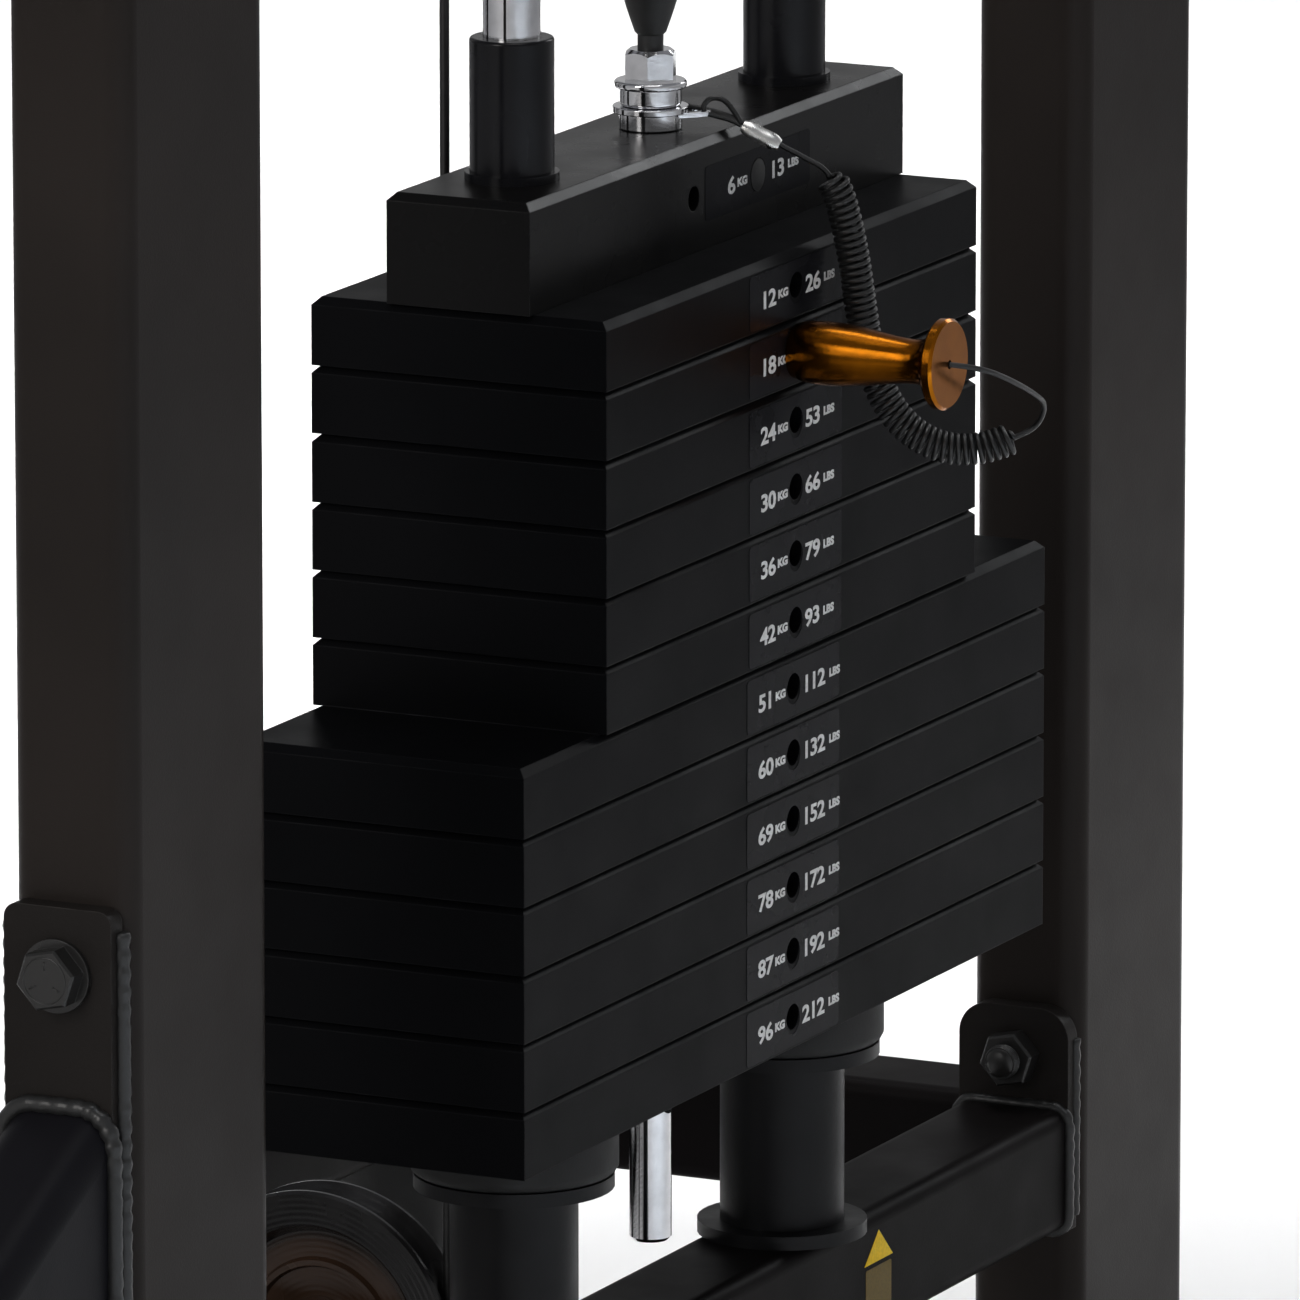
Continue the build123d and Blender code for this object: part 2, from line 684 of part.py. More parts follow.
def rail_nut(side):
    """Nut on the inner face of an end plate of the lower rail."""
    return hexagon(outward_plane(-side, -rail_half, LOWER_BOLT_Z), BOLT_NUT_T)


tip_x = rail_half - BOLT_REACH
upper_bolt = leg_bolt(UPPER_BOLT_Z, outer_x - WALL)
lower_bolt = leg_bolt(LOWER_BOLT_Z, tip_x).fuse(rail_nut(-1))
stud = shank(1, tip_x, inner_x + STUD_REACH, LOWER_BOLT_Z).fuse(rail_nut(1))
save("leg_bolts", both_towers([upper_bolt, lower_bolt, stud]))


def sole(x, y, size, top):
    """Rubber pad between the frame and the floor."""
    with BuildPart() as pad:
        with BuildSketch(Plane.XY):
            with Locations((x, y)):
                RectangleRounded(size[0], size[1], 8)
        extrude(amount=top)
    return pad.part


upright_sole = (UPRIGHT[0] + 16, UPRIGHT[1] + 16)
upright_soles = [sole(x, FRAME_Y, upright_sole, FOOT_T) for x in (-UPRIGHT_X, UPRIGHT_X)]
rear_soles = [disc((x, REAR_Y), 26, 0, RAIL_BOTTOM) for x in (-SIDE_RAIL_X, SIDE_RAIL_X)]
leg_sole = sole(-LEG_FOOT_X, FRAME_Y, LEG_FOOT, FOOT_T)
save("rubber_feet", both_towers(upright_soles + [leg_sole] + rear_soles))

# ---- pulleys, their brackets and the floating block

save_each("top_pulley", pulley(TOP_PULLEY, TOP_TURN_R))
save_each("bottom_pulley", pulley(BOTTOM_PULLEY, TURN_R))
save_each("float_pulley", pulley(FLOAT_PULLEY, TURN_R))
save_each("exit_pulley", pulley(EXIT_PULLEY, TURN_R))
save_each("swivel_pulley", pulley(SWIVEL_PULLEY, SWIVEL_TURN_R, half=9.0))


def cheek(y, low, high, width, x, axle, axle_r=AXLE_R):
    """Upright bracket plate square to X, with its axle hole."""
    with BuildPart() as plate:
        with BuildSketch(cross_plane(y, (low + high) / 2, x)):
            Rectangle(width, high - low)
        extrude(amount=CHEEK_T)
        with BuildSketch(cross_plane(axle[0], axle[1], x)):
            Circle(axle_r)
        extrude(amount=CHEEK_T, mode=Mode.SUBTRACT)
    return plate.part


cheek_starts = (-CHEEK_IN - CHEEK_T, CHEEK_IN)
top_cheeks = [
    cheek(TOP_PULLEY[0], TOP_PULLEY[1] - CHEEK_W / 2, BEAM_BOTTOM, CHEEK_W, x, TOP_PULLEY)
    for x in cheek_starts
]
cradle_mid = (side_start + side_end) / 2
cradle_low = BOTTOM_PULLEY[1] - CRADLE_H / 2
cradle_cheeks = [
    cheek(cradle_mid, cradle_low, cradle_low + CRADLE_H, side_end - side_start, x, BOTTOM_PULLEY)
    for x in cheek_starts
]
bolt_half = CHEEK_IN + CHEEK_T + NUT_ROOM
post_inner = POST_X - POST[0] / 2
axles = [
    rod_along_x(*TOP_PULLEY, AXLE_R, -bolt_half, bolt_half),
    rod_along_x(*BOTTOM_PULLEY, AXLE_R, -bolt_half, bolt_half),
    rod_along_x(*EXIT_PULLEY, AXLE_R, -post_inner, post_inner),
]
anchor_stud = disc((0, ANCHOR_Y), ANCHOR_R, EXIT_PULLEY[1], BEAM_BOTTOM - EXIT_PULLEY[1])
with BuildPart() as post_cap:
    with BuildSketch(Plane.XY.offset(BEAM_BOTTOM - CAP_T)):
        with Locations((0, REAR_Y)):
            RectangleRounded(2 * POST_X + POST[0] + 10, POST[1] + 15, 6)
    extrude(amount=CAP_T)
shelf_start = REAR_Y + POST[1] / 2
shelf_end = EXIT_Y + SHELF_REACH
with BuildPart() as swivel_shelf:
    with BuildSketch(Plane.XY.offset(SWIVEL_SHELF_Z)):
        with Locations((0, (shelf_start + shelf_end) / 2)):
            Rectangle(2 * POST_X + POST[0], shelf_end - shelf_start)
    extrude(amount=SWIVEL_SHELF_T)
    chamfer(swivel_shelf.edges().filter_by(Axis.Z).group_by(Axis.Y)[-1], 22)
    with BuildSketch(Plane.XY.offset(SWIVEL_SHELF_Z)):
        with Locations((0, EXIT_Y)):
            Circle(PIVOT_BORE_R)
    extrude(amount=SWIVEL_SHELF_T, mode=Mode.SUBTRACT)
brackets = top_cheeks + cradle_cheeks + axles + [anchor_stud, post_cap.part, swivel_shelf.part]
save("pulley_brackets", both_towers(brackets))

block_top = FLOAT_PULLEY[1] + 20
with BuildPart() as float_block:
    for x in cheek_starts:
        add(cheek(FLOAT_PULLEY[0], BLOCK_EYE_Z, block_top, CHEEK_W, x, FLOAT_PULLEY, AXLE_R - 0.5))
    add(rod_along_x(*FLOAT_PULLEY, AXLE_R, -bolt_half, bolt_half))
    with BuildSketch(Plane.XY.offset(BLOCK_EYE_Z)):
        with Locations((0, FLOAT_PULLEY[0])):
            Rectangle(2 * (CHEEK_IN + CHEEK_T), CHEEK_W)
    extrude(amount=BLOCK_T)
save_each("float_block", float_block.part)

# ---- cables


def turn_path(spans):
    """Join arcs and lines drawn as (y, z) points in the plane x = 0."""
    return Wire([Plane.YZ.from_local_coords(span) for span in spans])


lift_route = turn_path([
    CenterArc(TOP_PULLEY, TOP_TURN_R, 180, -180),
    Line((2 * TOP_TURN_R, TOP_PULLEY[1]), (2 * TOP_TURN_R, BOTTOM_PULLEY[1])),
    CenterArc(BOTTOM_PULLEY, TURN_R, 180, 180),
])
exit_route = turn_path([
    CenterArc(EXIT_PULLEY, TURN_R, 180, -180),
    Line((EXIT_Y, EXIT_PULLEY[1]), (EXIT_Y, SWIVEL_PULLEY[1])),
])
save("fixed_cables", both_towers([cable(lift_route), cable(exit_route)]))

float_turn = turn_path([CenterArc(FLOAT_PULLEY, TURN_R, 180, 180)])
save_each("float_turn", cable(float_turn))
save_each("lift_cable", straight_cable(0, BOOT_TOP, TOP_PULLEY[1]))
save_each("block_cable", straight_cable(FLOAT_PULLEY[0], BOTTOM_PULLEY[1], BLOCK_EYE_Z))
loop_strands = [
    straight_cable(y, FLOAT_PULLEY[1], EXIT_PULLEY[1])
    for y in (FLOAT_PULLEY[0] - TURN_R, FLOAT_PULLEY[0] + TURN_R)
]
save_each("loop_cables", Compound([solid for strand in loop_strands for solid in strand.solids()]))
save_each("handle_cable", straight_cable(EXIT_Y, STOP_Z + STOP_R, SWIVEL_PULLEY[1]))

# ---- swivel, stop, carabiner and handle

yoke_y = EXIT_Y + SWIVEL_TURN_R + 2
yoke_low = SWIVEL_PULLEY[1] - 24
yoke_high = SWIVEL_SHELF_Z - 2
swivel_low = SWIVEL_SHELF_Z - SWIVEL_DROP
shelf_top = SWIVEL_SHELF_Z + SWIVEL_SHELF_T
with BuildPart() as swivel_bracket:
    with BuildSketch(Plane.XY.offset(swivel_low)):
        with Locations((0, EXIT_Y)):
            Circle(PIVOT_R)
    extrude(amount=shelf_top + 6 - swivel_low)
    with BuildSketch(Plane.XY.offset(shelf_top + 0.4)):
        with Locations((0, EXIT_Y)):
            Circle(PIVOT_R + 5)
    extrude(amount=5)
    with BuildSketch(Plane.XY.offset(swivel_low)):
        with Locations((0, yoke_y - 14)):
            RectangleRounded(2 * (CHEEK_IN + CHEEK_T), 90, 6)
    extrude(amount=SWIVEL_PLATE_T)
    for x in cheek_starts:
        with BuildSketch(cross_plane(yoke_y, (yoke_low + yoke_high) / 2, x)):
            Rectangle(62, yoke_high - yoke_low)
        extrude(amount=CHEEK_T)
    with BuildSketch(cross_plane(*SWIVEL_PULLEY, -bolt_half)):
        Circle(AXLE_R)
    extrude(amount=2 * bolt_half)
    with BuildSketch(Plane.XY.offset(swivel_low)):
        with Locations((0, EXIT_Y)):
            Circle(PIVOT_HOLE_R)
    extrude(amount=shelf_top + 6 - swivel_low, mode=Mode.SUBTRACT)
save_each("swivel_bracket", swivel_bracket.part)

with BuildPart() as cable_stop:
    with Locations((0, EXIT_Y, STOP_Z)):
        Sphere(STOP_R)
    with BuildSketch(Plane.XY.offset(LINK_TOP)):
        with Locations((0, EXIT_Y)):
            Circle(4.5)
    extrude(amount=STOP_Z - LINK_TOP)
save_each("cable_stop", cable_stop.part)


link_straight = LINK_LENGTH / 2 - LINK_HALF
link_middle = LINK_TOP - LINK_WIRE_R - 0.3 - LINK_LENGTH / 2


def link_ring(straight, half, wire_r):
    """Oval link of round wire, upright in the plane x = 0."""
    with BuildPart() as link:
        with BuildLine(cross_plane(EXIT_Y, link_middle)) as line:
            Line((half, -straight), (half, straight))
            CenterArc((0, straight), half, 0, 180)
            Line((-half, straight), (-half, -straight))
            CenterArc((0, -straight), half, 180, 180)
        path = line.wires()[0]
        with BuildSketch(Plane(origin=path @ 0, z_dir=path % 0)):
            Circle(wire_r)
        sweep(path=path)
    return link.part


save_each("carabiner", link_ring(link_straight, LINK_HALF, LINK_WIRE_R))

strap_top = link_middle - link_straight - 7.0
strap_low = GRIP_Z - STRAP_T / 2
loop_half = LINK_WIRE_R + 0.6
with BuildPart() as handle_strap:
    with BuildSketch(Plane.XZ.offset(-EXIT_Y - STRAP_W / 2)):
        with BuildLine():
            Polyline(
                (-STRAP_HALF, strap_low + 7),
                (-STRAP_HALF + 4, strap_low),
                (STRAP_HALF - 4, strap_low),
                (STRAP_HALF, strap_low + 7),
                (loop_half + STRAP_T, strap_top - 16),
                (loop_half + STRAP_T, strap_top),
                (loop_half, strap_top + STRAP_T),
                (-loop_half, strap_top + STRAP_T),
                (-loop_half - STRAP_T, strap_top),
                (-loop_half - STRAP_T, strap_top - 16),
                close=True,
            )
        make_face()
        with BuildLine():
            Polyline(
                (-STRAP_HALF + 4, strap_low + 8),
                (-STRAP_HALF + 6, strap_low + STRAP_T),
                (STRAP_HALF - 6, strap_low + STRAP_T),
                (STRAP_HALF - 4, strap_low + 8),
                (loop_half, strap_top - 16),
                (loop_half, strap_top),
                (-loop_half, strap_top),
                (-loop_half, strap_top - 16),
                close=True,
            )
        make_face(mode=Mode.SUBTRACT)
    extrude(amount=STRAP_W)
save_each("handle_strap", handle_strap.part)

with BuildPart() as handle_grip:
    with BuildSketch(cross_plane(EXIT_Y, GRIP_Z, -GRIP_LENGTH / 2)):
        Circle(GRIP_R)
        Circle(GRIP_BORE_R, mode=Mode.SUBTRACT)
    extrude(amount=GRIP_LENGTH)
    fillet(handle_grip.edges(), 1.5)
save_each("handle_grip", handle_grip.part)
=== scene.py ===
import math

import bmesh
import bpy
from mathutils import Matrix, Vector


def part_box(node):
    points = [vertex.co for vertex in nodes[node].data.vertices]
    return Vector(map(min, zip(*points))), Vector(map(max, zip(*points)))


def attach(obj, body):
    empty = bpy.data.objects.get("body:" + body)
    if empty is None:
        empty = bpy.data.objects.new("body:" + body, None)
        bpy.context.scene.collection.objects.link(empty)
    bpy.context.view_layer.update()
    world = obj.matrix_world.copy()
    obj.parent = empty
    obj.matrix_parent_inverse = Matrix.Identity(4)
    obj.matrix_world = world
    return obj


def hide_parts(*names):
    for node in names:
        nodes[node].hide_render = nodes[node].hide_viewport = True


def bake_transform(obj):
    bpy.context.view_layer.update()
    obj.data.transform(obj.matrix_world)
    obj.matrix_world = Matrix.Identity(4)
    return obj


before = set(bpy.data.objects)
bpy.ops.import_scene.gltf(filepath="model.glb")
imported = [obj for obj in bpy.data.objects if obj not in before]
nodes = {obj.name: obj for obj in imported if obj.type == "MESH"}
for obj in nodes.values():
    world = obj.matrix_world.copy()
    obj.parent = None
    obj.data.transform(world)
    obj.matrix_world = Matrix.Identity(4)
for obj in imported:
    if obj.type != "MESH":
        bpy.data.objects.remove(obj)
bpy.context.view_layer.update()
scene = bpy.context.scene

# Positions are written in tower millimetres, as in the CAD source: x = y = 0 on the stack's axis,
# z = 0 on the floor. at() turns them into metres on the left tower; the right tower's pieces are
# the left one's turned half round.
SIDES = ("left", "right")
TOWER_Y = 1700.0
HALF_TURN = Matrix.Rotation(math.pi, 4, "Z")
STACK_Z = 220.0
PLATE_T = 24.0
HEAD_BOTTOM = 508.3
HEAD_TOP = 547.3
FRAME_Y = 3.5
UPRIGHT_FACE = 434.0
RAIL_MID_Z = 98.5
BOLT_LEVELS = (STACK_Z + 115.0, STACK_Z - 79.5)
REAR_Y = 281.0
TOP_TURN_R = 40.5
TURN_R = 50.0
SWIVEL_TURN_R = 40.0
EXIT_Y = REAR_Y + TURN_R
STOP_Z = 1862.0
STOP_R = 16.0
LINK_Z = 1801.7
GRIP_Z = 1652.0
# Axles of the pulleys, as (y, z).
TOP_AXLE = (TOP_TURN_R, 2110.0)
BOTTOM_AXLE = (2 * TOP_TURN_R + TURN_R, 94.0)
FLOAT_AXLE = (2 * TOP_TURN_R + 2 * TURN_R, 900.0)
EXIT_AXLE = (REAR_Y, 2110.0)
SWIVEL_AXLE = (EXIT_Y + SWIVEL_TURN_R, 1930.0)


def at(x, y, z):
    return Vector((x, y - TOWER_Y, z)) / 1000


# ---- camera

AZIMUTH = math.radians(-64.2)
ELEVATION = math.radians(12.16)
DISTANCE = 5.4626
back = Vector((
    math.sin(AZIMUTH) * math.cos(ELEVATION),
    -math.cos(AZIMUTH) * math.cos(ELEVATION),
    math.sin(ELEVATION),
))
camera = bpy.data.objects.new("camera", bpy.data.cameras.new("camera"))
scene.collection.objects.link(camera)
camera.data.sensor_width = 36.0
camera.data.lens = 426.6
camera.data.clip_start = 0.05
camera.data.clip_end = 100.0
camera.location = at(0, 0.19, 359.27) + back * DISTANCE
camera.rotation_mode = "QUATERNION"
camera.rotation_quaternion = (-back).to_track_quat("-Z", "Y")
scene.camera = camera


# ---- materials


class Finish:
    """A procedural material in the making: a Principled shader and the nodes that feed it."""

    def __init__(self, name, rough=0.5, metal=0.0, level=0.5, **sockets):
        self.material = bpy.data.materials.new(name)
        self.material.use_nodes = True
        self.tree = self.material.node_tree
        self.shader = self.tree.nodes["Principled BSDF"]
        self.shader.inputs["Roughness"].default_value = rough
        self.shader.inputs["Metallic"].default_value = metal
        self.shader.inputs["Specular IOR Level"].default_value = level
        for socket, value in sockets.items():
            self.shader.inputs[socket.replace("_", " ")].default_value = value
        self.place = self.node("ShaderNodeTexCoord").outputs["Object"]
        self.normal = None

    def node(self, kind, inputs=(), **settings):
        made = self.tree.nodes.new(kind)
        for key, value in settings.items():
            setattr(made, key, value)
        for key, value in dict(inputs).items():
            if isinstance(value, bpy.types.NodeSocket):
                self.tree.links.new(value, made.inputs[key])
            else:
                made.inputs[key].default_value = value
        return made

    def stretched(self, scale=(1, 1, 1), move=(0, 0, 0)):
        values = {"Vector": self.place, "Scale": scale, "Location": move}
        return self.node("ShaderNodeMapping", values).outputs["Vector"]

    def noise(self, scale, detail=3.0, place=None):
        values = {"Vector": place or self.place, "Scale": scale, "Detail": detail}
        return self.node("ShaderNodeTexNoise", values).outputs["Fac"]

    def wave(self, scale, kind="BANDS", way="Z", distortion=0.0, place=None):
        values = {"Vector": place or self.place, "Scale": scale, "Distortion": distortion}
        if kind == "BANDS":
            return self.node("ShaderNodeTexWave", values, bands_direction=way).outputs["Fac"]
        return self.node("ShaderNodeTexWave", values, wave_type=kind, rings_direction=way).outputs["Fac"]

    def ramp(self, factor, *stops):
        made = self.node("ShaderNodeValToRGB", {"Fac": factor})
        ends = made.color_ramp.elements
        while len(ends) < len(stops):
            ends.new(0.5)
        for end, (position, color) in zip(ends, stops):
            end.position = position
            end.color = (*color, 1) if hasattr(color, "__len__") else (color, color, color, 1)
        return made.outputs["Color"]

    def mix(self, factor, low, high):
        made = self.node("ShaderNodeMix", data_type="RGBA")
        for key, value in ((0, factor), (6, low), (7, high)):
            if isinstance(value, bpy.types.NodeSocket):
                self.tree.links.new(value, made.inputs[key])
            else:
                made.inputs[key].default_value = (*value, 1) if key else value
        return made.outputs[2]

    def into(self, socket, output):
        self.tree.links.new(output, self.shader.inputs[socket])

    def rough_between(self, factor, low, high):
        self.into("Roughness", self.ramp(factor, (0.25, low), (0.75, high)))

    def rounded(self, radius, worn, edge_wear_and_highlight_color):
        """Rounds the edges in the shading and lightens them with patchy edge wear and a painted highlight.
        worn is the surface colour so far.
        """
        soft = self.node("ShaderNodeBevel", {"Radius": radius}, samples=4).outputs["Normal"]
        plain = self.node("ShaderNodeNewGeometry").outputs["Normal"]
        flat = self.node("ShaderNodeVectorMath", {0: soft, 1: plain}, operation="DOT_PRODUCT")
        # Edge mask: the rounded edges are painted lighter, a painted highlight along them made patchy like
        # wear.
        edge = self.ramp(flat.outputs["Value"], (0.80, 0.75), (0.985, 0.0))
        patchy = self.ramp(self.noise(90, 4), (0.35, 0.15), (0.7, 1.0))
        share = self.node("ShaderNodeMath", {0: edge, 1: patchy}, operation="MULTIPLY")
        self.normal = soft
        return self.mix(share.outputs[0], worn, edge_wear_and_highlight_color)

    def bump(self, height, depth, strength=1.0):
        values = {"Height": height, "Distance": depth, "Strength": strength}
        if self.normal is not None:
            values["Normal"] = self.normal
        self.normal = self.node("ShaderNodeBump", values).outputs["Normal"]

    def done(self):
        if self.normal is not None:
            self.into("Normal", self.normal)
        return self.material


def coated(name, dark, light, edge_wear_and_highlight, rough, level, grain, depth, edge=0.0007):
    """Painted or powder-coated steel: mottled tone, fine grain and lighter edges, which are edge wear and a
    painted highlight.
    """
    made = Finish(name, level=level)
    tone = made.ramp(made.noise(7, 4), (0.3, dark), (0.7, light))
    made.into("Base Color", made.rounded(edge, tone, edge_wear_and_highlight))
    made.rough_between(made.noise(35, 3), rough - 0.05, rough + 0.06)
    made.bump(made.noise(grain, 2), depth)
    made.bump(made.noise(60, 2), 0.00006, 0.5)
    return made.done()


def bright_metal(name, color, rough, streak, way, depth=0.000012):
    """Polished or turned metal with fine lines across one direction."""
    made = Finish(name, metal=1.0, rough=rough)
    dull = tuple(0.82 * c for c in color)
    made.into("Base Color", made.ramp(made.noise(160, 4), (0.3, dull), (0.7, color)))
    made.rough_between(made.noise(220, 4), rough * 0.7, rough * 1.5)
    made.bump(made.wave(streak, way=way, distortion=1.5), depth, 0.6)
    return made.done()


def moulded(name, dark, light, rough, level, grain, depth):
    """Moulded plastic or rubber with a fine grain and cloudy gloss."""
    made = Finish(name, level=level)
    made.into("Base Color", made.ramp(made.noise(25, 4), (0.3, dark), (0.7, light)))
    made.rough_between(made.noise(55, 3), rough - 0.06, rough + 0.08)
    made.bump(made.noise(grain, 3), depth)
    return made.done()


frame_coat = coated(
    "powder_coat", dark=(0.0175, 0.0146, 0.0131), light=(0.0255, 0.0208, 0.0184),
    edge_wear_and_highlight=(0.060, 0.060, 0.064), rough=0.34, level=0.07, grain=1500, depth=0.00005,
)
beam_coat = coated(
    "rail_coat", dark=(0.0050, 0.0043, 0.0043), light=(0.0075, 0.0064, 0.0066),
    edge_wear_and_highlight=(0.050, 0.048, 0.050), rough=0.44, level=0.03, grain=1500, depth=0.00005,
)
leg_coat = coated(
    "leg_coat", dark=(0.0060, 0.0058, 0.0074), light=(0.0092, 0.0088, 0.0110),
    edge_wear_and_highlight=(0.045, 0.045, 0.050), rough=0.40, level=0.07, grain=1500, depth=0.00005,
)
plate_coat = coated(
    "plate_paint", dark=(0.0024, 0.0026, 0.0031), light=(0.0044, 0.0044, 0.0050),
    edge_wear_and_highlight=(0.030, 0.030, 0.032), rough=0.40, level=0.03, grain=1900, depth=0.00003,
)
head_coat = coated(
    "head_paint", dark=(0.0026, 0.0025, 0.0028), light=(0.0046, 0.0043, 0.0043),
    edge_wear_and_highlight=(0.035, 0.034, 0.034), rough=0.28, level=0.10, grain=1900, depth=0.00003,
)
bracket_coat = coated(
    "plate_coat", dark=(0.0120, 0.0104, 0.0096), light=(0.0190, 0.0166, 0.0152),
    edge_wear_and_highlight=(0.075, 0.070, 0.066), rough=0.42, level=0.08, grain=900, depth=0.00009,
)
weld_coat = coated(
    "weld_coat", dark=(0.014, 0.014, 0.014), light=(0.024, 0.024, 0.024),
    edge_wear_and_highlight=(0.09, 0.09, 0.09), rough=0.34, level=0.4, grain=700, depth=0.00012, edge=0.0004,
)
bolt_black = coated(
    "bolt_black", dark=(0.008, 0.008, 0.008), light=(0.018, 0.017, 0.016),
    edge_wear_and_highlight=(0.10, 0.10, 0.10), rough=0.30, level=0.5, grain=900, depth=0.00004, edge=0.0004,
)
chrome = bright_metal("chrome", (0.80, 0.80, 0.82), 0.07, 700, "Z")
zinc = bright_metal("zinc", (0.48, 0.48, 0.49), 0.34, 900, "Z", 0.00002)
aluminium = bright_metal("ferrule_aluminium", (0.86, 0.85, 0.82), 0.28, 600, "Y", 0.00003)
gold = bright_metal("gold_anodised", (0.42, 0.135, 0.006), 0.15, 1500, "Y")
gloss_black = moulded(
    "black_plastic", dark=(0.004, 0.004, 0.005), light=(0.006, 0.006, 0.008),
    rough=0.24, level=0.22, grain=500, depth=0.00002,
)
spool_black = moulded(
    "spool_plastic", dark=(0.003, 0.003, 0.0036), light=(0.006, 0.006, 0.007),
    rough=0.42, level=0.22, grain=350, depth=0.00006,
)
rubber = moulded(
    "rubber", dark=(0.010, 0.010, 0.010), light=(0.018, 0.018, 0.018),
    rough=0.58, level=0.35, grain=900, depth=0.00006,
)
label_black = moulded(
    "label_black", dark=(0.0045, 0.0045, 0.006), light=(0.008, 0.008, 0.010),
    rough=0.26, level=0.04, grain=160, depth=0.00003,
)


def boot_rubber():
    """Sleeve rubber with faint moulded ribs."""
    made = Finish("boot_rubber", level=0.35)
    made.into("Base Color", made.ramp(made.noise(60, 4), (0.3, 0.010), (0.7, 0.020)))
    made.rough_between(made.noise(80, 3), 0.42, 0.58)
    made.bump(made.wave(34, way="Z"), 0.00035, 0.5)
    made.bump(made.noise(900, 2), 0.00004)
    return made.done()


def cord_black(name, twist, rough):
    """Coated wire rope or cord: the strands show faintly through the coating."""
    made = Finish(name, level=0.5)
    made.into("Base Color", made.ramp(made.noise(300, 3), (0.3, 0.005), (0.7, 0.013)))
    made.rough_between(made.noise(200, 3), rough - 0.06, rough + 0.08)
    slant = made.node("ShaderNodeMapping", {"Vector": made.place, "Rotation": (0.7, 0.5, 0.3)})
    made.bump(made.wave(twist, way="Z", place=slant.outputs["Vector"]), 0.00008, 0.5)
    return made.done()


PULLEY_RIM = (0.0055, 0.0052, 0.0055)


def pulley_black(name, y, z):
    """Turned nylon pulley: rings round its axle and brownish glossy web."""
    made = Finish(name, level=0.55)
    centred = made.stretched(move=(0, -y, -z))
    reach = made.node("ShaderNodeVectorMath", {0: centred}, operation="LENGTH").outputs["Value"]
    web = made.ramp(made.noise(18, 3, centred), (0.30, (0.020, 0.012, 0.008)), (0.72, (0.060, 0.030, 0.016)))
    share = made.ramp(reach, (0.034, 0.0), (0.040, 1.0))
    made.into("Base Color", made.mix(share, web, PULLEY_RIM))
    made.rough_between(made.noise(40, 3, centred), 0.16, 0.34)
    made.bump(made.wave(140, "RINGS", "X", place=centred), 0.00006, 0.6)
    made.bump(made.noise(500, 2), 0.00002)
    return made.done()


def webbing():
    """Woven nylon strap: warp ribs along it and picks across it, with painted shade in the hollows between
    them.
    """
    made = Finish("webbing", rough=0.8, level=0.2, Sheen_Weight=0.25, Sheen_Roughness=0.4)
    warp = made.wave(260, way="Y", distortion=0.4)
    weft = made.wave(330, way="Z", distortion=0.6)
    cloth = made.node("ShaderNodeMath", {0: warp, 1: weft}, operation="MULTIPLY").outputs[0]
    # The low parts of the weave are painted darker: painted shade in its hollows.
    made.into("Base Color", made.ramp(cloth, (0.1, 0.006), (0.8, 0.022)))
    made.rough_between(made.noise(60), 0.74, 0.86)
    made.bump(cloth, 0.0004)
    return made.done()


def grip_rubber():
    """Foam-rubber grip with a pattern of small cells, painted darker in their pits as painted shade."""
    made = Finish("grip_rubber", level=0.3)
    values = {"Vector": made.place, "Scale": 330.0}
    cells = made.node("ShaderNodeTexVoronoi", values).outputs["Distance"]
    # Darker towards each cell's middle, where the bump is lowest: painted shade in the pits.
    made.into("Base Color", made.ramp(cells, (0.1, 0.008), (0.6, 0.018)))
    made.rough_between(made.noise(45), 0.6, 0.75)
    made.bump(cells, 0.0005)
    return made.done()


def printed(name, color, grain=900):
    """Ink or vinyl with slight unevenness."""
    made = Finish(name, rough=0.35, level=0.08)
    worn = tuple(0.80 * c for c in color)
    made.into("Base Color", made.ramp(made.noise(grain, 3), (0.25, worn), (0.6, color)))
    made.rough_between(made.noise(120), 0.28, 0.42)
    made.bump(made.noise(400), 0.00002)
    return made.done()


boot = boot_rubber()
cable_coat = cord_black("cable_coat", 420, 0.34)
lanyard_coat = cord_black("lanyard_coat", 700, 0.36)
strap_cloth = webbing()
grip_foam = grip_rubber()
white_ink = printed("white_ink", (0.75, 0.75, 0.74))
yellow_vinyl = printed("yellow_vinyl", (0.90, 0.60, 0.004))
amber_vinyl = printed("amber_vinyl", (0.13, 0.085, 0.006))
thread = printed("stitch_thread", (0.05, 0.05, 0.055))

finishes = {
    "resting_plates": plate_coat, "guide_rods": chrome, "bumper_spools": spool_black, "bumper_pads": rubber,
    "uprights": frame_coat, "frame_rails": beam_coat, "rear_posts": beam_coat, "overhead_beam": beam_coat,
    "bolted_plates": bracket_coat, "outrigger_legs": leg_coat, "leg_bolts": bolt_black, "rubber_feet": rubber,
    "pulley_brackets": bracket_coat, "fixed_cables": cable_coat, "lifted_plates": plate_coat,
    "head_plate": head_coat, "guide_bushes": gloss_black, "selector_stem": chrome, "cable_boot": boot,
    "selector_pin": gold, "lanyard": lanyard_coat, "float_block": bracket_coat, "float_turn": cable_coat,
    "lift_cable": cable_coat, "block_cable": cable_coat, "loop_cables": cable_coat,
    "swivel_bracket": bracket_coat, "handle_cable": cable_coat, "cable_stop": rubber, "carabiner": zinc,
    "handle_strap": strap_cloth, "handle_grip": grip_foam,
}
for name, node in nodes.items():
    kind = name.split("_", 1)[1] if name.split("_", 1)[0] in SIDES else name
    node.data.materials.clear()
    if kind.endswith("pulley"):
        low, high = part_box(name)
        middle = (low + high) / 2
        node.data.materials.append(pulley_black(f"{name}_nylon", middle.y, middle.z))
    else:
        node.data.materials.append(finishes[kind])


# ---- mesh helpers: each returns a bmesh in metres on the left tower


def joined(*parts):
    """One bmesh of several."""
    whole = bmesh.new()
    for part in parts:
        scrap = bpy.data.meshes.new("scrap")
        part.to_mesh(scrap)
        part.free()
        whole.from_mesh(scrap)
        bpy.data.meshes.remove(scrap)
    return whole


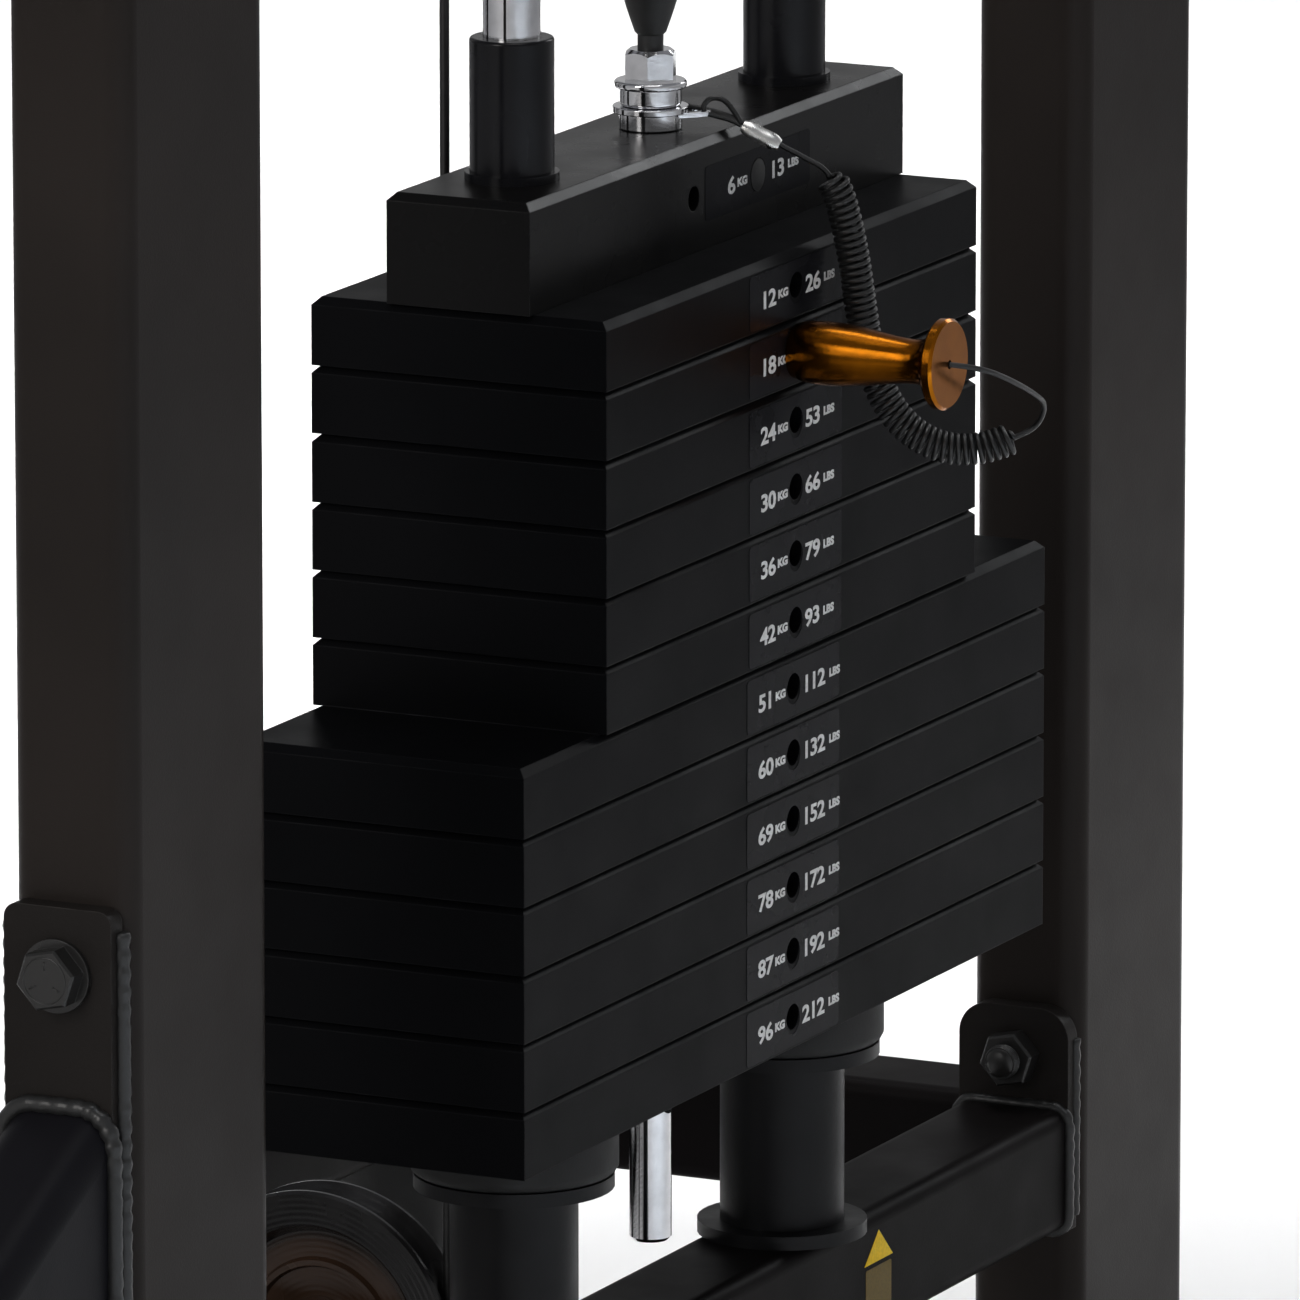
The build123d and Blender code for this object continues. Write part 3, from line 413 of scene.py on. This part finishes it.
def frames_along(line, closed=False):
    """A tangent and two cross directions at each point of a line, without twist."""
    count = len(line)
    tangents = []
    for i in range(count):
        before = line[i - 1] if i or closed else line[0]
        after = line[(i + 1) % count] if i < count - 1 or closed else line[-1]
        tangents.append((after - before).normalized())
    across = tangents[0].orthogonal().normalized()
    found = []
    for tangent in tangents:
        across = (across - tangent * across.dot(tangent)).normalized()
        found.append((tangent, across, tangent.cross(across)))
    return found


def swept(line, radius, sides=10, closed=False, flatten=1.0):
    """Tube along a line. radius is a number or a function of the point's index."""
    mesh = bmesh.new()
    rings = []
    for i, (point, (_, across, up)) in enumerate(zip(line, frames_along(line, closed))):
        r = radius(i) if callable(radius) else radius
        ring = []
        for k in range(sides):
            turn = 2 * math.pi * k / sides
            sideways = point + across * r * math.cos(turn)
            ring.append(mesh.verts.new(sideways + up * r * flatten * math.sin(turn)))
        rings.append(ring)
    pairs = list(zip(rings, rings[1:]))
    if closed:
        pairs.append((rings[-1], rings[0]))
    for one, two in pairs:
        for k in range(sides):
            mesh.faces.new((one[k], one[(k + 1) % sides], two[(k + 1) % sides], two[k]))
    if not closed:
        mesh.faces.new(list(reversed(rings[0])))
        mesh.faces.new(rings[-1])
    return mesh


def turned(profile, centre, axis, sides=48):
    """Solid of revolution: profile is (radius, distance along the axis) in millimetres."""
    mesh = bmesh.new()
    turn = Vector((0, 0, 1)).rotation_difference(Vector(axis)).to_matrix()
    rings = []
    for r, h in profile:
        ring = []
        for k in range(sides if r > 1e-6 else 1):
            a = 2 * math.pi * k / sides
            ring.append(mesh.verts.new(centre + turn @ Vector((r * math.cos(a), r * math.sin(a), h)) / 1000))
        rings.append(ring)
    for one, two in zip(rings, rings[1:]):
        if len(one) == 1 and len(two) == 1:
            continue
        for k in range(sides):
            n = (k + 1) % sides
            if len(one) == 1:
                mesh.faces.new((one[0], two[n], two[k]))
            elif len(two) == 1:
                mesh.faces.new((one[k], one[n], two[0]))
            else:
                mesh.faces.new((one[k], one[n], two[n], two[k]))
    bmesh.ops.recalc_face_normals(mesh, faces=mesh.faces)
    return mesh


def slab(outline, plane_origin, right, up, thickness, bevel=0.0, hole=None):
    """Flat piece: outline is (across, up) in millimetres, thickness is towards right x up."""
    right, up = Vector(right), Vector(up)
    out = right.cross(up)
    mesh = bmesh.new()
    rim = [mesh.verts.new(plane_origin + (right * a + up * b) / 1000) for a, b in outline]
    if hole is None:
        mesh.faces.new(rim)
    else:
        inner = [mesh.verts.new(plane_origin + (right * a + up * b) / 1000) for a, b in hole]
        edges = []
        for loop in (rim, inner):
            edges += [mesh.edges.new(ends) for ends in zip(loop, loop[1:] + loop[:1])]
        bmesh.ops.triangle_fill(mesh, use_beauty=True, use_dissolve=False, edges=edges)
    bmesh.ops.recalc_face_normals(mesh, faces=mesh.faces)
    if mesh.faces[:][0].normal.dot(out) < 0:
        bmesh.ops.reverse_faces(mesh, faces=mesh.faces)
    grown = bmesh.ops.extrude_face_region(mesh, geom=mesh.faces[:])
    moved = [v for v in grown["geom"] if isinstance(v, bmesh.types.BMVert)]
    bmesh.ops.translate(mesh, verts=moved, vec=out * thickness / 1000)
    bmesh.ops.recalc_face_normals(mesh, faces=mesh.faces)
    if bevel:
        sharp = [e for e in mesh.edges if len(e.link_faces) == 2 and e.calc_face_angle() > 0.9]
        bmesh.ops.bevel(mesh, geom=sharp, offset=bevel / 1000, segments=2, affect="EDGES")
    return mesh


def rounded_box(width, height, corner, steps=5):
    """Outline of a rounded rectangle, in millimetres."""
    points = []
    for cx, cy, start in ((1, 1, 0), (-1, 1, 90), (-1, -1, 180), (1, -1, 270)):
        for k in range(steps + 1):
            a = math.radians(start + 90 * k / steps)
            points.append((
                cx * (width / 2 - corner) + corner * math.cos(a),
                cy * (height / 2 - corner) + corner * math.sin(a),
            ))
    return points


def ngon(radius, sides, start=0.0):
    """Outline of a regular polygon, in millimetres."""
    turns = [start + 2 * math.pi * k / sides for k in range(sides)]
    return [(radius * math.cos(turn), radius * math.sin(turn)) for turn in turns]


def piece(name, mesh, body, material, smooth=0.6):
    """Makes an object of a bmesh or a mesh and sets it to ride on its body."""
    if isinstance(mesh, bmesh.types.BMesh):
        data = bpy.data.meshes.new(name)
        mesh.to_mesh(data)
        mesh.free()
    else:
        data = mesh
        data.name = name
    obj = bpy.data.objects.new(name, data)
    scene.collection.objects.link(obj)
    data.materials.append(material)
    data.shade_smooth()
    if smooth:
        data.set_sharp_from_angle(angle=smooth)
    if body:
        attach(obj, body)
    return obj


def on_towers(name, mesh, body, material, smooth=0.6):
    """The same piece on both towers. body is root or a body's name without its side."""
    data = bpy.data.meshes.new(name)
    mesh.to_mesh(data)
    mesh.free()
    made = []
    for side in SIDES:
        copy = data.copy()
        if side == "right":
            copy.transform(HALF_TURN)
        rides = "root" if body == "root" else f"{side}_{body}" if body else None
        made.append(piece(f"{side}_{name}", copy, rides, material, smooth))
    bpy.data.meshes.remove(data)
    return made


def smooth_line(points, resolution=16):
    """The line of a NURBS spline with these control points."""
    curve = bpy.data.curves.new("route", "CURVE")
    curve.dimensions = "3D"
    curve.resolution_u = resolution
    spline = curve.splines.new("NURBS")
    spline.points.add(len(points) - 1)
    for control, point in zip(spline.points, points):
        control.co = (*point, 1)
    spline.order_u = 3
    spline.use_endpoint_u = True
    holder = bpy.data.objects.new("route", curve)
    mesh = bpy.data.meshes.new_from_object(holder)
    line = [v.co.copy() for v in mesh.vertices]
    bpy.data.meshes.remove(mesh)
    bpy.data.curves.remove(curve)
    return line


# ---- the selector pin's lanyard: one cord, thin at both ends and curled between them

LEAD_IN = [(10, -10, 334.2), (13, -24, 332.5), (15.5, -36, 325), (20, -49, 318), (24, -60, 312)]
CURL = [
    (28, -65.5, 286),
    (30.5, -68, 260),
    (31, -72, 240),
    (33, -80.5, 223.5),
    (38, -93, 214),
    (45, -106, 212.5),
    (52, -118, 217),
]
LEAD_OUT = [
    (56, -125, 221),
    (52, -130, 230),
    (40, -131, 236),
    (22, -130, 244),
    (6, -125, 251),
    (0, -115.8, 252.3),
]
CORD_D = 0.002
CURL_R = 0.0049
CURL_PITCH = 0.0026
TURN_POINTS = 16


def route(points):
    return [at(x, y, z + STACK_Z) for x, y, z in points]


def nearest_index(line, point):
    return min(range(len(line)), key=lambda i: (line[i] - point).length)


def curly_line():
    """The cord's own line: the route's spline, wound into a helix between its two leads."""
    middle = smooth_line(route(LEAD_IN + CURL + LEAD_OUT), 40)
    first = nearest_index(middle, route(LEAD_IN)[-1])
    last = nearest_index(middle, route(CURL)[-1])
    crosses = frames_along(middle)
    along = [0.0]
    for one, two in zip(middle[first:last], middle[first + 1:last + 1]):
        along.append(along[-1] + (two - one).length)
    total = along[-1]
    turns = round(total / CURL_PITCH)
    line = middle[:first]
    spot = 0
    for k in range(turns * TURN_POINTS + 1):
        reached = total * k / (turns * TURN_POINTS)
        while spot < len(along) - 2 and along[spot + 1] < reached:
            spot += 1
        share = (reached - along[spot]) / (along[spot + 1] - along[spot])
        i = first + spot
        centre = middle[i].lerp(middle[i + 1], share)
        across = crosses[i][1].lerp(crosses[i + 1][1], share)
        up = crosses[i][2].lerp(crosses[i + 1][2], share)
        ease = min(1.0, k / TURN_POINTS, (turns * TURN_POINTS - k) / TURN_POINTS)
        r = CURL_R * ease * ease * (3 - 2 * ease)
        turn = 2 * math.pi * k / TURN_POINTS
        line.append(centre + across * r * math.cos(turn) + up * r * math.sin(turn))
    return line + middle[last + 1:]


cord_line = curly_line()

FERRULE_ENDS = ((13.6, -29.5, 328.3), (17.4, -42.0, 321.6))
ferrule_start, ferrule_end = (at(x, y, z + STACK_Z) for x, y, z in FERRULE_ENDS)
FERRULE_RADII = (0.0021, 0.0030, 0.0032, 0.0031, 0.0029, 0.0031, 0.0032, 0.0030, 0.0021)
ferrule_line = [ferrule_start.lerp(ferrule_end, k / 8) for k in range(9)]
ferrule_mesh = swept(ferrule_line, lambda i: FERRULE_RADII[i], 20, flatten=0.72)
ferrules = on_towers("lanyard_ferrule", ferrule_mesh, "stack", aluminium)
eye_points = [
    (13.4, -29.0, 329.0), (13.5, -26, 333.5), (12.5, -22.5, 337.5), (10.5, -18.5, 338.0), (8.5, -16.5, 335.5),
    (8.5, -16.8, 332.8), (10.5, -20.0, 331.6), (12.8, -25.5, 330.2), (13.5, -29.0, 328.4),
]
eye_mesh = swept(smooth_line(route(eye_points)), CORD_D / 2, 10)
eyes = on_towers("lanyard_eye", eye_mesh, "stack", lanyard_coat)
tab_outline = [(-7.5, 9.5), (-5.6, 17.0), (-3.6, 20.2), (0, 21.6), (3.6, 20.2), (5.6, 17.0), (7.5, 9.5)]
tab_way = Vector((8.8, -16.6, 0)).normalized()
tab_mesh = slab(
    tab_outline, at(0, 0, HEAD_TOP + 6.3), Vector((0, 0, -1)).cross(tab_way), tab_way, -1.6, 0.3,
    [(a, b + 16.6) for a, b in ngon(2.4, 16)],
)
on_towers("ring_tab", tab_mesh, "stack", chrome)

for side, ferrule, eye in zip(SIDES, ferrules, eyes):
    place = HALF_TURN if side == "right" else Matrix.Identity(4)
    path = [place @ point for point in cord_line]
    lanyard = piece(f"{side}_lanyard_cord", swept(path, CORD_D / 2, 8), None, lanyard_coat, None)
    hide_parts(f"{side}_lanyard")
    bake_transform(lanyard)

# ---- cables that lengthen and shorten as the stack moves, built here as straight ropes of one fixed length

CABLE_R = 1.75
CABLE_STEPS = 48


def upright_cable(y, low, high):
    """Straight upright rope, cut into short steps."""
    line = [at(0, y, low + (high - low) * k / CABLE_STEPS) for k in range(CABLE_STEPS + 1)]
    return swept(line, CABLE_R / 1000, 14)


BOOT_TOP = 667.8
BLOCK_EYE_Z = FLOAT_AXLE[1] - 85.0
STOP_TOP = STOP_Z + STOP_R
LOOP_YS = [FLOAT_AXLE[0] - TURN_R, FLOAT_AXLE[0] + TURN_R]
moving_cables = [
    ("lift_cable", [0.0], BOOT_TOP, TOP_AXLE[1], "stack", True),
    ("block_cable", [FLOAT_AXLE[0]], BOTTOM_AXLE[1], BLOCK_EYE_Z, "float", False),
    ("loop_cables", LOOP_YS, FLOAT_AXLE[1], EXIT_AXLE[1], "float", True),
    ("handle_cable", [EXIT_Y], STOP_TOP, SWIVEL_AXLE[1], "handle", True),
]
for name, offsets, low, high, moving, top_is_still in moving_cables:
    rope_mesh = joined(*[upright_cable(y, low, high) for y in offsets])
    ropes = on_towers(f"{name}_rope", rope_mesh, None, cable_coat)
    for side, rope in zip(SIDES, ropes):
        place = HALF_TURN if side == "right" else Matrix.Identity(4)
        ends = [place @ at(0, offsets[0], high), place @ at(0, offsets[0], low)]
        if not top_is_still:
            ends.reverse()
        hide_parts(f"{side}_{name}")
        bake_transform(rope)

# ---- weight stickers: black, with the pin hole left free, and plain numbers

LABEL = (76.0, 19.6)
HEAD_LABEL_WIDTH = 86.0
LABEL_T = 0.15
PIN_LABEL_HOLE = 5.6
PLUG_LABEL_HOLE = 6.4
SMALL_FACE = 56.75
LARGE_FACE = 56.0
HEAD_FACE = 27.5
LIFT_GAP = 0.3
LABEL_RISE = 10.6
PLUG_X = 30.0


def sticker(x, y, z, width=LABEL[0], hole=PIN_LABEL_HOLE):
    """Black sticker with a round hole in its middle."""
    outline = rounded_box(width, LABEL[1], 1.6)
    return slab(outline, at(x, y, z), (1, 0, 0), (0, 0, 1), LABEL_T, 0, ngon(hole, 20))


LETTER_WIDEN = 1.5


def lettering(text, size, x, y, z, right_edge=False):
    """Flat raised characters that face -Y, as a bmesh. x is their left edge, or right edge."""
    curve = bpy.data.curves.new("text", "FONT")
    curve.body = text
    curve.size = size / 1000
    curve.resolution_u = 3
    curve.offset = 0.00022
    curve.extrude = 0.00004
    curve.align_x = "RIGHT" if right_edge else "LEFT"
    curve.space_character = 0.95
    holder = bpy.data.objects.new("text", curve)
    data = bpy.data.meshes.new_from_object(holder)
    mesh = bmesh.new()
    mesh.from_mesh(data)
    upright = Matrix.Rotation(math.pi / 2, 4, "X") @ Matrix.Diagonal((LETTER_WIDEN, 1, 1, 1))
    bmesh.ops.transform(mesh, matrix=Matrix.Translation(at(x, y, z)) @ upright, verts=mesh.verts)
    bpy.data.meshes.remove(data)
    bpy.data.curves.remove(curve)
    return mesh


def numbers(kilos, pounds, x, face, z, shift=0.0):
    """Kilos left of the hole and pounds right of it, each with its unit."""
    front = -face - LABEL_T - 0.05
    return joined(
        lettering(str(kilos), 8.6, x - 16.5 - shift, front, z - 3.1, True),
        lettering("KG", 4.0, x - 15.0 - shift, front, z - 1.4),
        lettering(str(pounds), 8.6, x + 7.5 + shift, front, z - 3.1),
        lettering("LBS", 4.0, x + 8.8 + 6.9 * len(str(pounds)) + shift, front, z - 1.4),
    )


weights = [(12, 26), (18, 40), (24, 53), (30, 66), (36, 79), (42, 93)]
weights += [(51, 112), (60, 132), (69, 152), (78, 172), (87, 192), (96, 212)]
moving_labels, moving_numbers, still_labels, still_numbers = [], [], [], []
for step, (kilos, pounds) in enumerate(weights):
    level = 11 - step
    lifted = step < 2
    middle = STACK_Z + level * PLATE_T + LABEL_RISE + (LIFT_GAP if lifted else 0.0)
    face = SMALL_FACE if step < 6 else LARGE_FACE
    labels, digits = (moving_labels, moving_numbers) if lifted else (still_labels, still_numbers)
    labels.append(sticker(0, -face, middle))
    digits.append(numbers(kilos, pounds, 0, face, middle))
head_label_z = HEAD_BOTTOM + 19.5
moving_labels.append(sticker(PLUG_X, -HEAD_FACE, head_label_z, HEAD_LABEL_WIDTH, PLUG_LABEL_HOLE))
moving_numbers.append(numbers(6, 13, PLUG_X, HEAD_FACE, head_label_z, 2.0))
on_towers("lifted_stickers", joined(*moving_labels), "stack", label_black)
on_towers("lifted_numbers", joined(*moving_numbers), "stack", white_ink, None)
on_towers("resting_stickers", joined(*still_labels), "root", label_black)
on_towers("resting_numbers", joined(*still_numbers), "root", white_ink, None)
plug_profile = [(0, 0.9), (3.6, 0.9), (4.6, 0.5), (5.8, 0.3), (5.8, -1.0), (0, -1.0)]
plug = turned(plug_profile, at(PLUG_X, -HEAD_FACE, head_label_z), (0, -1, 0), 32)
on_towers("head_plug", plug, "stack", rubber)

# ---- hardware on the frame


def weld_bead(line, size, closed=False, pitch=2):
    """Rippled bead of weld along a line of evenly spaced points."""
    def radius(i):
        return size * (0.86 + 0.14 * abs(math.sin(math.pi * i / (2 * pitch))) + 0.05 * math.sin(1.7 * i))
    return swept(line, radius, 10, closed)


def straight(start, end, step=1.6):
    count = max(2, round((end - start).length * 1000 / step))
    return [start.lerp(end, k / count) for k in range(count + 1)]


def outline_line(points, step=1.6):
    """Evenly spaced points round a closed outline."""
    line = []
    for one, two in zip(points, points[1:] + points[:1]):
        if (two - one).length > 1e-6:
            line += straight(one, two, step)[:-1]
    return line


def end_cap(outline, x, y, z, way):
    """Plastic cap on the end of a tube that points along X."""
    return slab(outline, at(way * x, y, z), (0, way, 0), (0, 0, 1), 3.0, 1.0)


welds, bolt_marks, caps = [], [], []
for edge_y in (-16.9, 23.9):
    welds.append(weld_bead(straight(at(-435.4, edge_y, 134), at(-435.4, edge_y, 350)), 0.0031))
leg_outline = [at(-443.0, FRAME_Y + a, 245 + b * 1.122) for a, b in rounded_box(41.5, 81.5, 12, 8)]
welds.append(weld_bead(outline_line(leg_outline), 0.0033, True))
for way in (-1, 1):
    rail_box = rounded_box(46, 48, 6.5, 4)
    rail_outline = [at(way * 320.6, FRAME_Y + a, RAIL_MID_Z + b) for a, b in rail_box]
    welds.append(weld_bead(outline_line(rail_outline), 0.0024, True))
    plate_line = straight(at(way * 328.0, -18.6, 80), at(way * 328.0, -18.6, 148))
    welds.append(weld_bead(plate_line, 0.0022))
    caps.append(end_cap(rounded_box(44, 79, 5.5), UPRIGHT_FACE, FRAME_Y, 2220, way))
    caps.append(end_cap(rounded_box(44, 46, 5.5), 374.5, REAR_Y, RAIL_MID_Z, way))
leg_end = at(-862.0, FRAME_Y, 56)
caps.append(slab(rounded_box(39, 70, 11), leg_end, (0, -1, 0), (0, 0, 1), 2.5, 0.8))


def circle_line(middle, radius, count=40):
    """Closed line round a point, square to X."""
    turns = [2 * math.pi * k / count for k in range(count)]
    return [middle + Vector((0, math.cos(t), math.sin(t))) * radius / 1000 for t in turns]


for z in BOLT_LEVELS:
    mark_plane = at(-451.45, FRAME_Y, z)
    for k in range(3):
        a = math.radians(90 + 120 * k)
        line = [mark_plane + Vector((0, math.cos(a), math.sin(a))) * r / 1000 for r in (3.6, 5.0, 6.4)]
        bolt_marks.append(swept(line, 0.00035, 6))
    bolt_marks.append(swept(circle_line(mark_plane, 7.8), 0.0003, 6, True))
TIP_PROFILE = [(0, 1.2), (3.9, 1.2), (5.2, 0.4), (6.1, -0.6), (6.1, -3.2), (5.6, -3.6)]
tips = []
for way in (-1, 1):
    tip = at(way * 308.0, FRAME_Y, BOLT_LEVELS[1])
    tips.append(turned(TIP_PROFILE, tip, (-way, 0, 0), 32))
    for k in range(3):
        thread_middle = tip + Vector((way * (1.3 + 1.2 * k) / 1000, 0, 0))
        tips.append(swept(circle_line(thread_middle, 6.15), 0.0004, 6, True))
on_towers("stud_tips", joined(*tips), "root", bolt_black)
on_towers("weld_beads", joined(*welds), "root", weld_coat, None)
on_towers("bolt_marks", joined(*bolt_marks), "root", bolt_black, None)
on_towers("tube_caps", joined(*caps), "root", rubber)


def axle_nuts(y, z):
    """Hex nuts and washers on both ends of a pulley's axle."""
    found = []
    for way in (-1, 1):
        found.append(slab(ngon(9.8, 6, 0.3), at(way * 18.3, y, z), (0, way, 0), (0, 0, 1), 4.4, 0.5))
        found.append(slab(ngon(10.6, 28), at(way * 17.0, y, z), (0, way, 0), (0, 0, 1), 1.3, 0.3))
    return joined(*found)


on_towers("top_axle_nuts", axle_nuts(*TOP_AXLE), "root", zinc)
on_towers("bottom_axle_nuts", axle_nuts(*BOTTOM_AXLE), "root", zinc)
on_towers("float_axle_nuts", axle_nuts(*FLOAT_AXLE), "float", zinc)
on_towers("swivel_axle_nuts", axle_nuts(*SWIVEL_AXLE), "swivel", zinc)
SPACER_PROFILE = [
    (5.2, 0.6), (9.2, 0.6), (9.8, 1.2), (8.6, 4), (8.6, 88.4), (9.8, 91.2), (9.2, 91.8), (5.2, 91.8),
]
spacers = []
for way in (-1, 1):
    spacers.append(turned(SPACER_PROFILE, at(way * 12.2, *EXIT_AXLE), (way, 0, 0), 32))
on_towers("exit_spacers", joined(*spacers), "root", zinc)

triangle = slab([(-12.2, -11.6), (12.2, -11.6), (0, 0)], at(152.6, -19.0, 114.4), (1, 0, 0), (0, 0, 1), 0.15)
on_towers("caution_triangle", triangle, "root", yellow_vinyl)
bar = slab(rounded_box(22.0, 22.0, 0.8), at(152.6, -19.0, 90.0), (1, 0, 0), (0, 0, 1), 0.12)
on_towers("caution_bar", bar, "root", amber_vinyl)

# ---- handle details

sleeve_profile = [(4.3, -10), (6.2, -9.4), (6.6, -8)]
for k in range(8):
    groove = -7 + 2 * k
    sleeve_profile += [(6.6, groove - 0.5), (6.15, groove), (6.15, groove + 0.5), (6.6, groove + 1.0)]
sleeve_profile += [(6.6, 8.6), (6.2, 9.6), (4.3, 10)]
sleeve = turned(sleeve_profile, at(0, EXIT_Y + 17, LINK_Z), (0, 0, 1), 36)
on_towers("carabiner_sleeve", sleeve, "handle", zinc)
seam = [at(a, EXIT_Y, STOP_Z + b) for a, b in ngon(16.05, 64)]
on_towers("stop_seam", swept(seam, 0.0004, 6, True), "handle", rubber, None)
STRAP_LOW = (70.5, 1662.0)
STRAP_HIGH = (9.0, 1764.0)
stitches = []
for way in (-1, 1):
    low, high = [Vector((way * x, 0, z)) for x, z in (STRAP_LOW, STRAP_HIGH)]
    slope = (high - low).normalized()
    out = Vector((way * -slope.z, 0, way * slope.x)) * -1
    if out.x * way < 0:
        out = -out
    for y_row in (-8.0, 8.0):
        for k in range(26):
            spot = low + slope * (6 + 4.0 * k)
            start = Vector((spot.x, EXIT_Y + y_row, spot.z)) + out * 0.75
            ends = [start, start + out * 0.25 + slope * 1.2, start + slope * 2.4]
            stitches.append(swept([at(*p) for p in ends], 0.00035, 6))
on_towers("strap_stitches", joined(*stitches), "handle", thread, None)
collars = []
for way in (-1, 1):
    collars.append(turned([(16.6, 0), (18.2, 0.6), (18.6, 2.0), (18.2, 4.2), (16.6, 5.0)],
                          at(way * 53.6, EXIT_Y, GRIP_Z), (way, 0, 0), 40))
on_towers("grip_collars", joined(*collars), "grip", gloss_black)

# ---- floor, world and lights


def floor():
    mesh = bmesh.new()
    bmesh.ops.create_grid(mesh, x_segments=24, y_segments=24, size=14)
    data = bpy.data.meshes.new("floor")
    mesh.to_mesh(data)
    mesh.free()
    obj = bpy.data.objects.new("floor", data)
    scene.collection.objects.link(obj)
    made = Finish("floor", rough=0.7, level=0.2)
    made.into("Base Color", made.ramp(made.noise(1.2, 3), (0.3, 0.86), (0.7, 0.90)))
    made.bump(made.noise(300, 2), 0.00005)
    data.materials.append(made.done())


floor()
world = bpy.data.worlds.new("studio")
scene.world = world
world.use_nodes = True
sky = world.node_tree
place = sky.nodes.new("ShaderNodeTexCoord").outputs["Generated"]
height = sky.nodes.new("ShaderNodeSeparateXYZ")
fade = sky.nodes.new("ShaderNodeValToRGB")
sky.links.new(place, height.inputs[0])
sky.links.new(height.outputs["Z"], fade.inputs["Fac"])
fade.color_ramp.elements[0].position = 0.0
fade.color_ramp.elements[0].color = (1.0, 1.0, 1.0, 1)
fade.color_ramp.elements[1].position = 0.65
fade.color_ramp.elements[1].color = (0.42, 0.43, 0.46, 1)
sky.links.new(fade.outputs["Color"], sky.nodes["Background"].inputs["Color"])
sky.nodes["Background"].inputs["Strength"].default_value = 0.47


def area_light(name, place, aim, size, power, color, spread=180.0):
    light = bpy.data.lights.new(name, "AREA")
    light.shape = "RECTANGLE"
    light.size, light.size_y = size
    light.spread = math.radians(spread)
    light.energy = power
    light.color = color
    obj = bpy.data.objects.new(name, light)
    obj.location = place
    obj.rotation_mode = "QUATERNION"
    obj.rotation_quaternion = (Vector(aim) - Vector(place)).to_track_quat("-Z", "Y")
    scene.collection.objects.link(obj)
    return obj


# The floor light whitens the floor behind the left tower, as the camera sees it, and its long
# side lies along the view.
FLOOR_LIGHT_TURN = math.atan2(0.43, 0.88)
backdrop = area_light(
    "floor_light", (1.9, -0.75, 3.4), (1.9, -0.75, 0), (3.2, 1.7), 28, (1.0, 1.0, 1.0), 42.0,
)
backdrop.rotation_mode = "XYZ"
backdrop.rotation_euler = (0, 0, FLOOR_LIGHT_TURN)
area_light("corner_glow", (-0.8, -3.3, 3.0), (-0.8, -3.3, 0), (2.0, 1.3), 18, (0.80, 0.90, 1.0), 50.0)
area_light("top", (-0.4, -2.1, 3.7), (0, -1.7, 0.4), (1.6, 1.6), 16, (1.0, 0.98, 0.96))
area_light("side", (-3.6, -0.9, 2.2), (0, -1.7, 0.4), (1.6, 2.0), 50, (1.0, 0.97, 0.94))
area_light("rim", (5.0, -2.9, 2.75), (0, -1.7, 0.4), (0.9, 1.8), 4, (0.96, 0.98, 1.0), 70.0)
scene.view_settings.view_transform = "Standard"
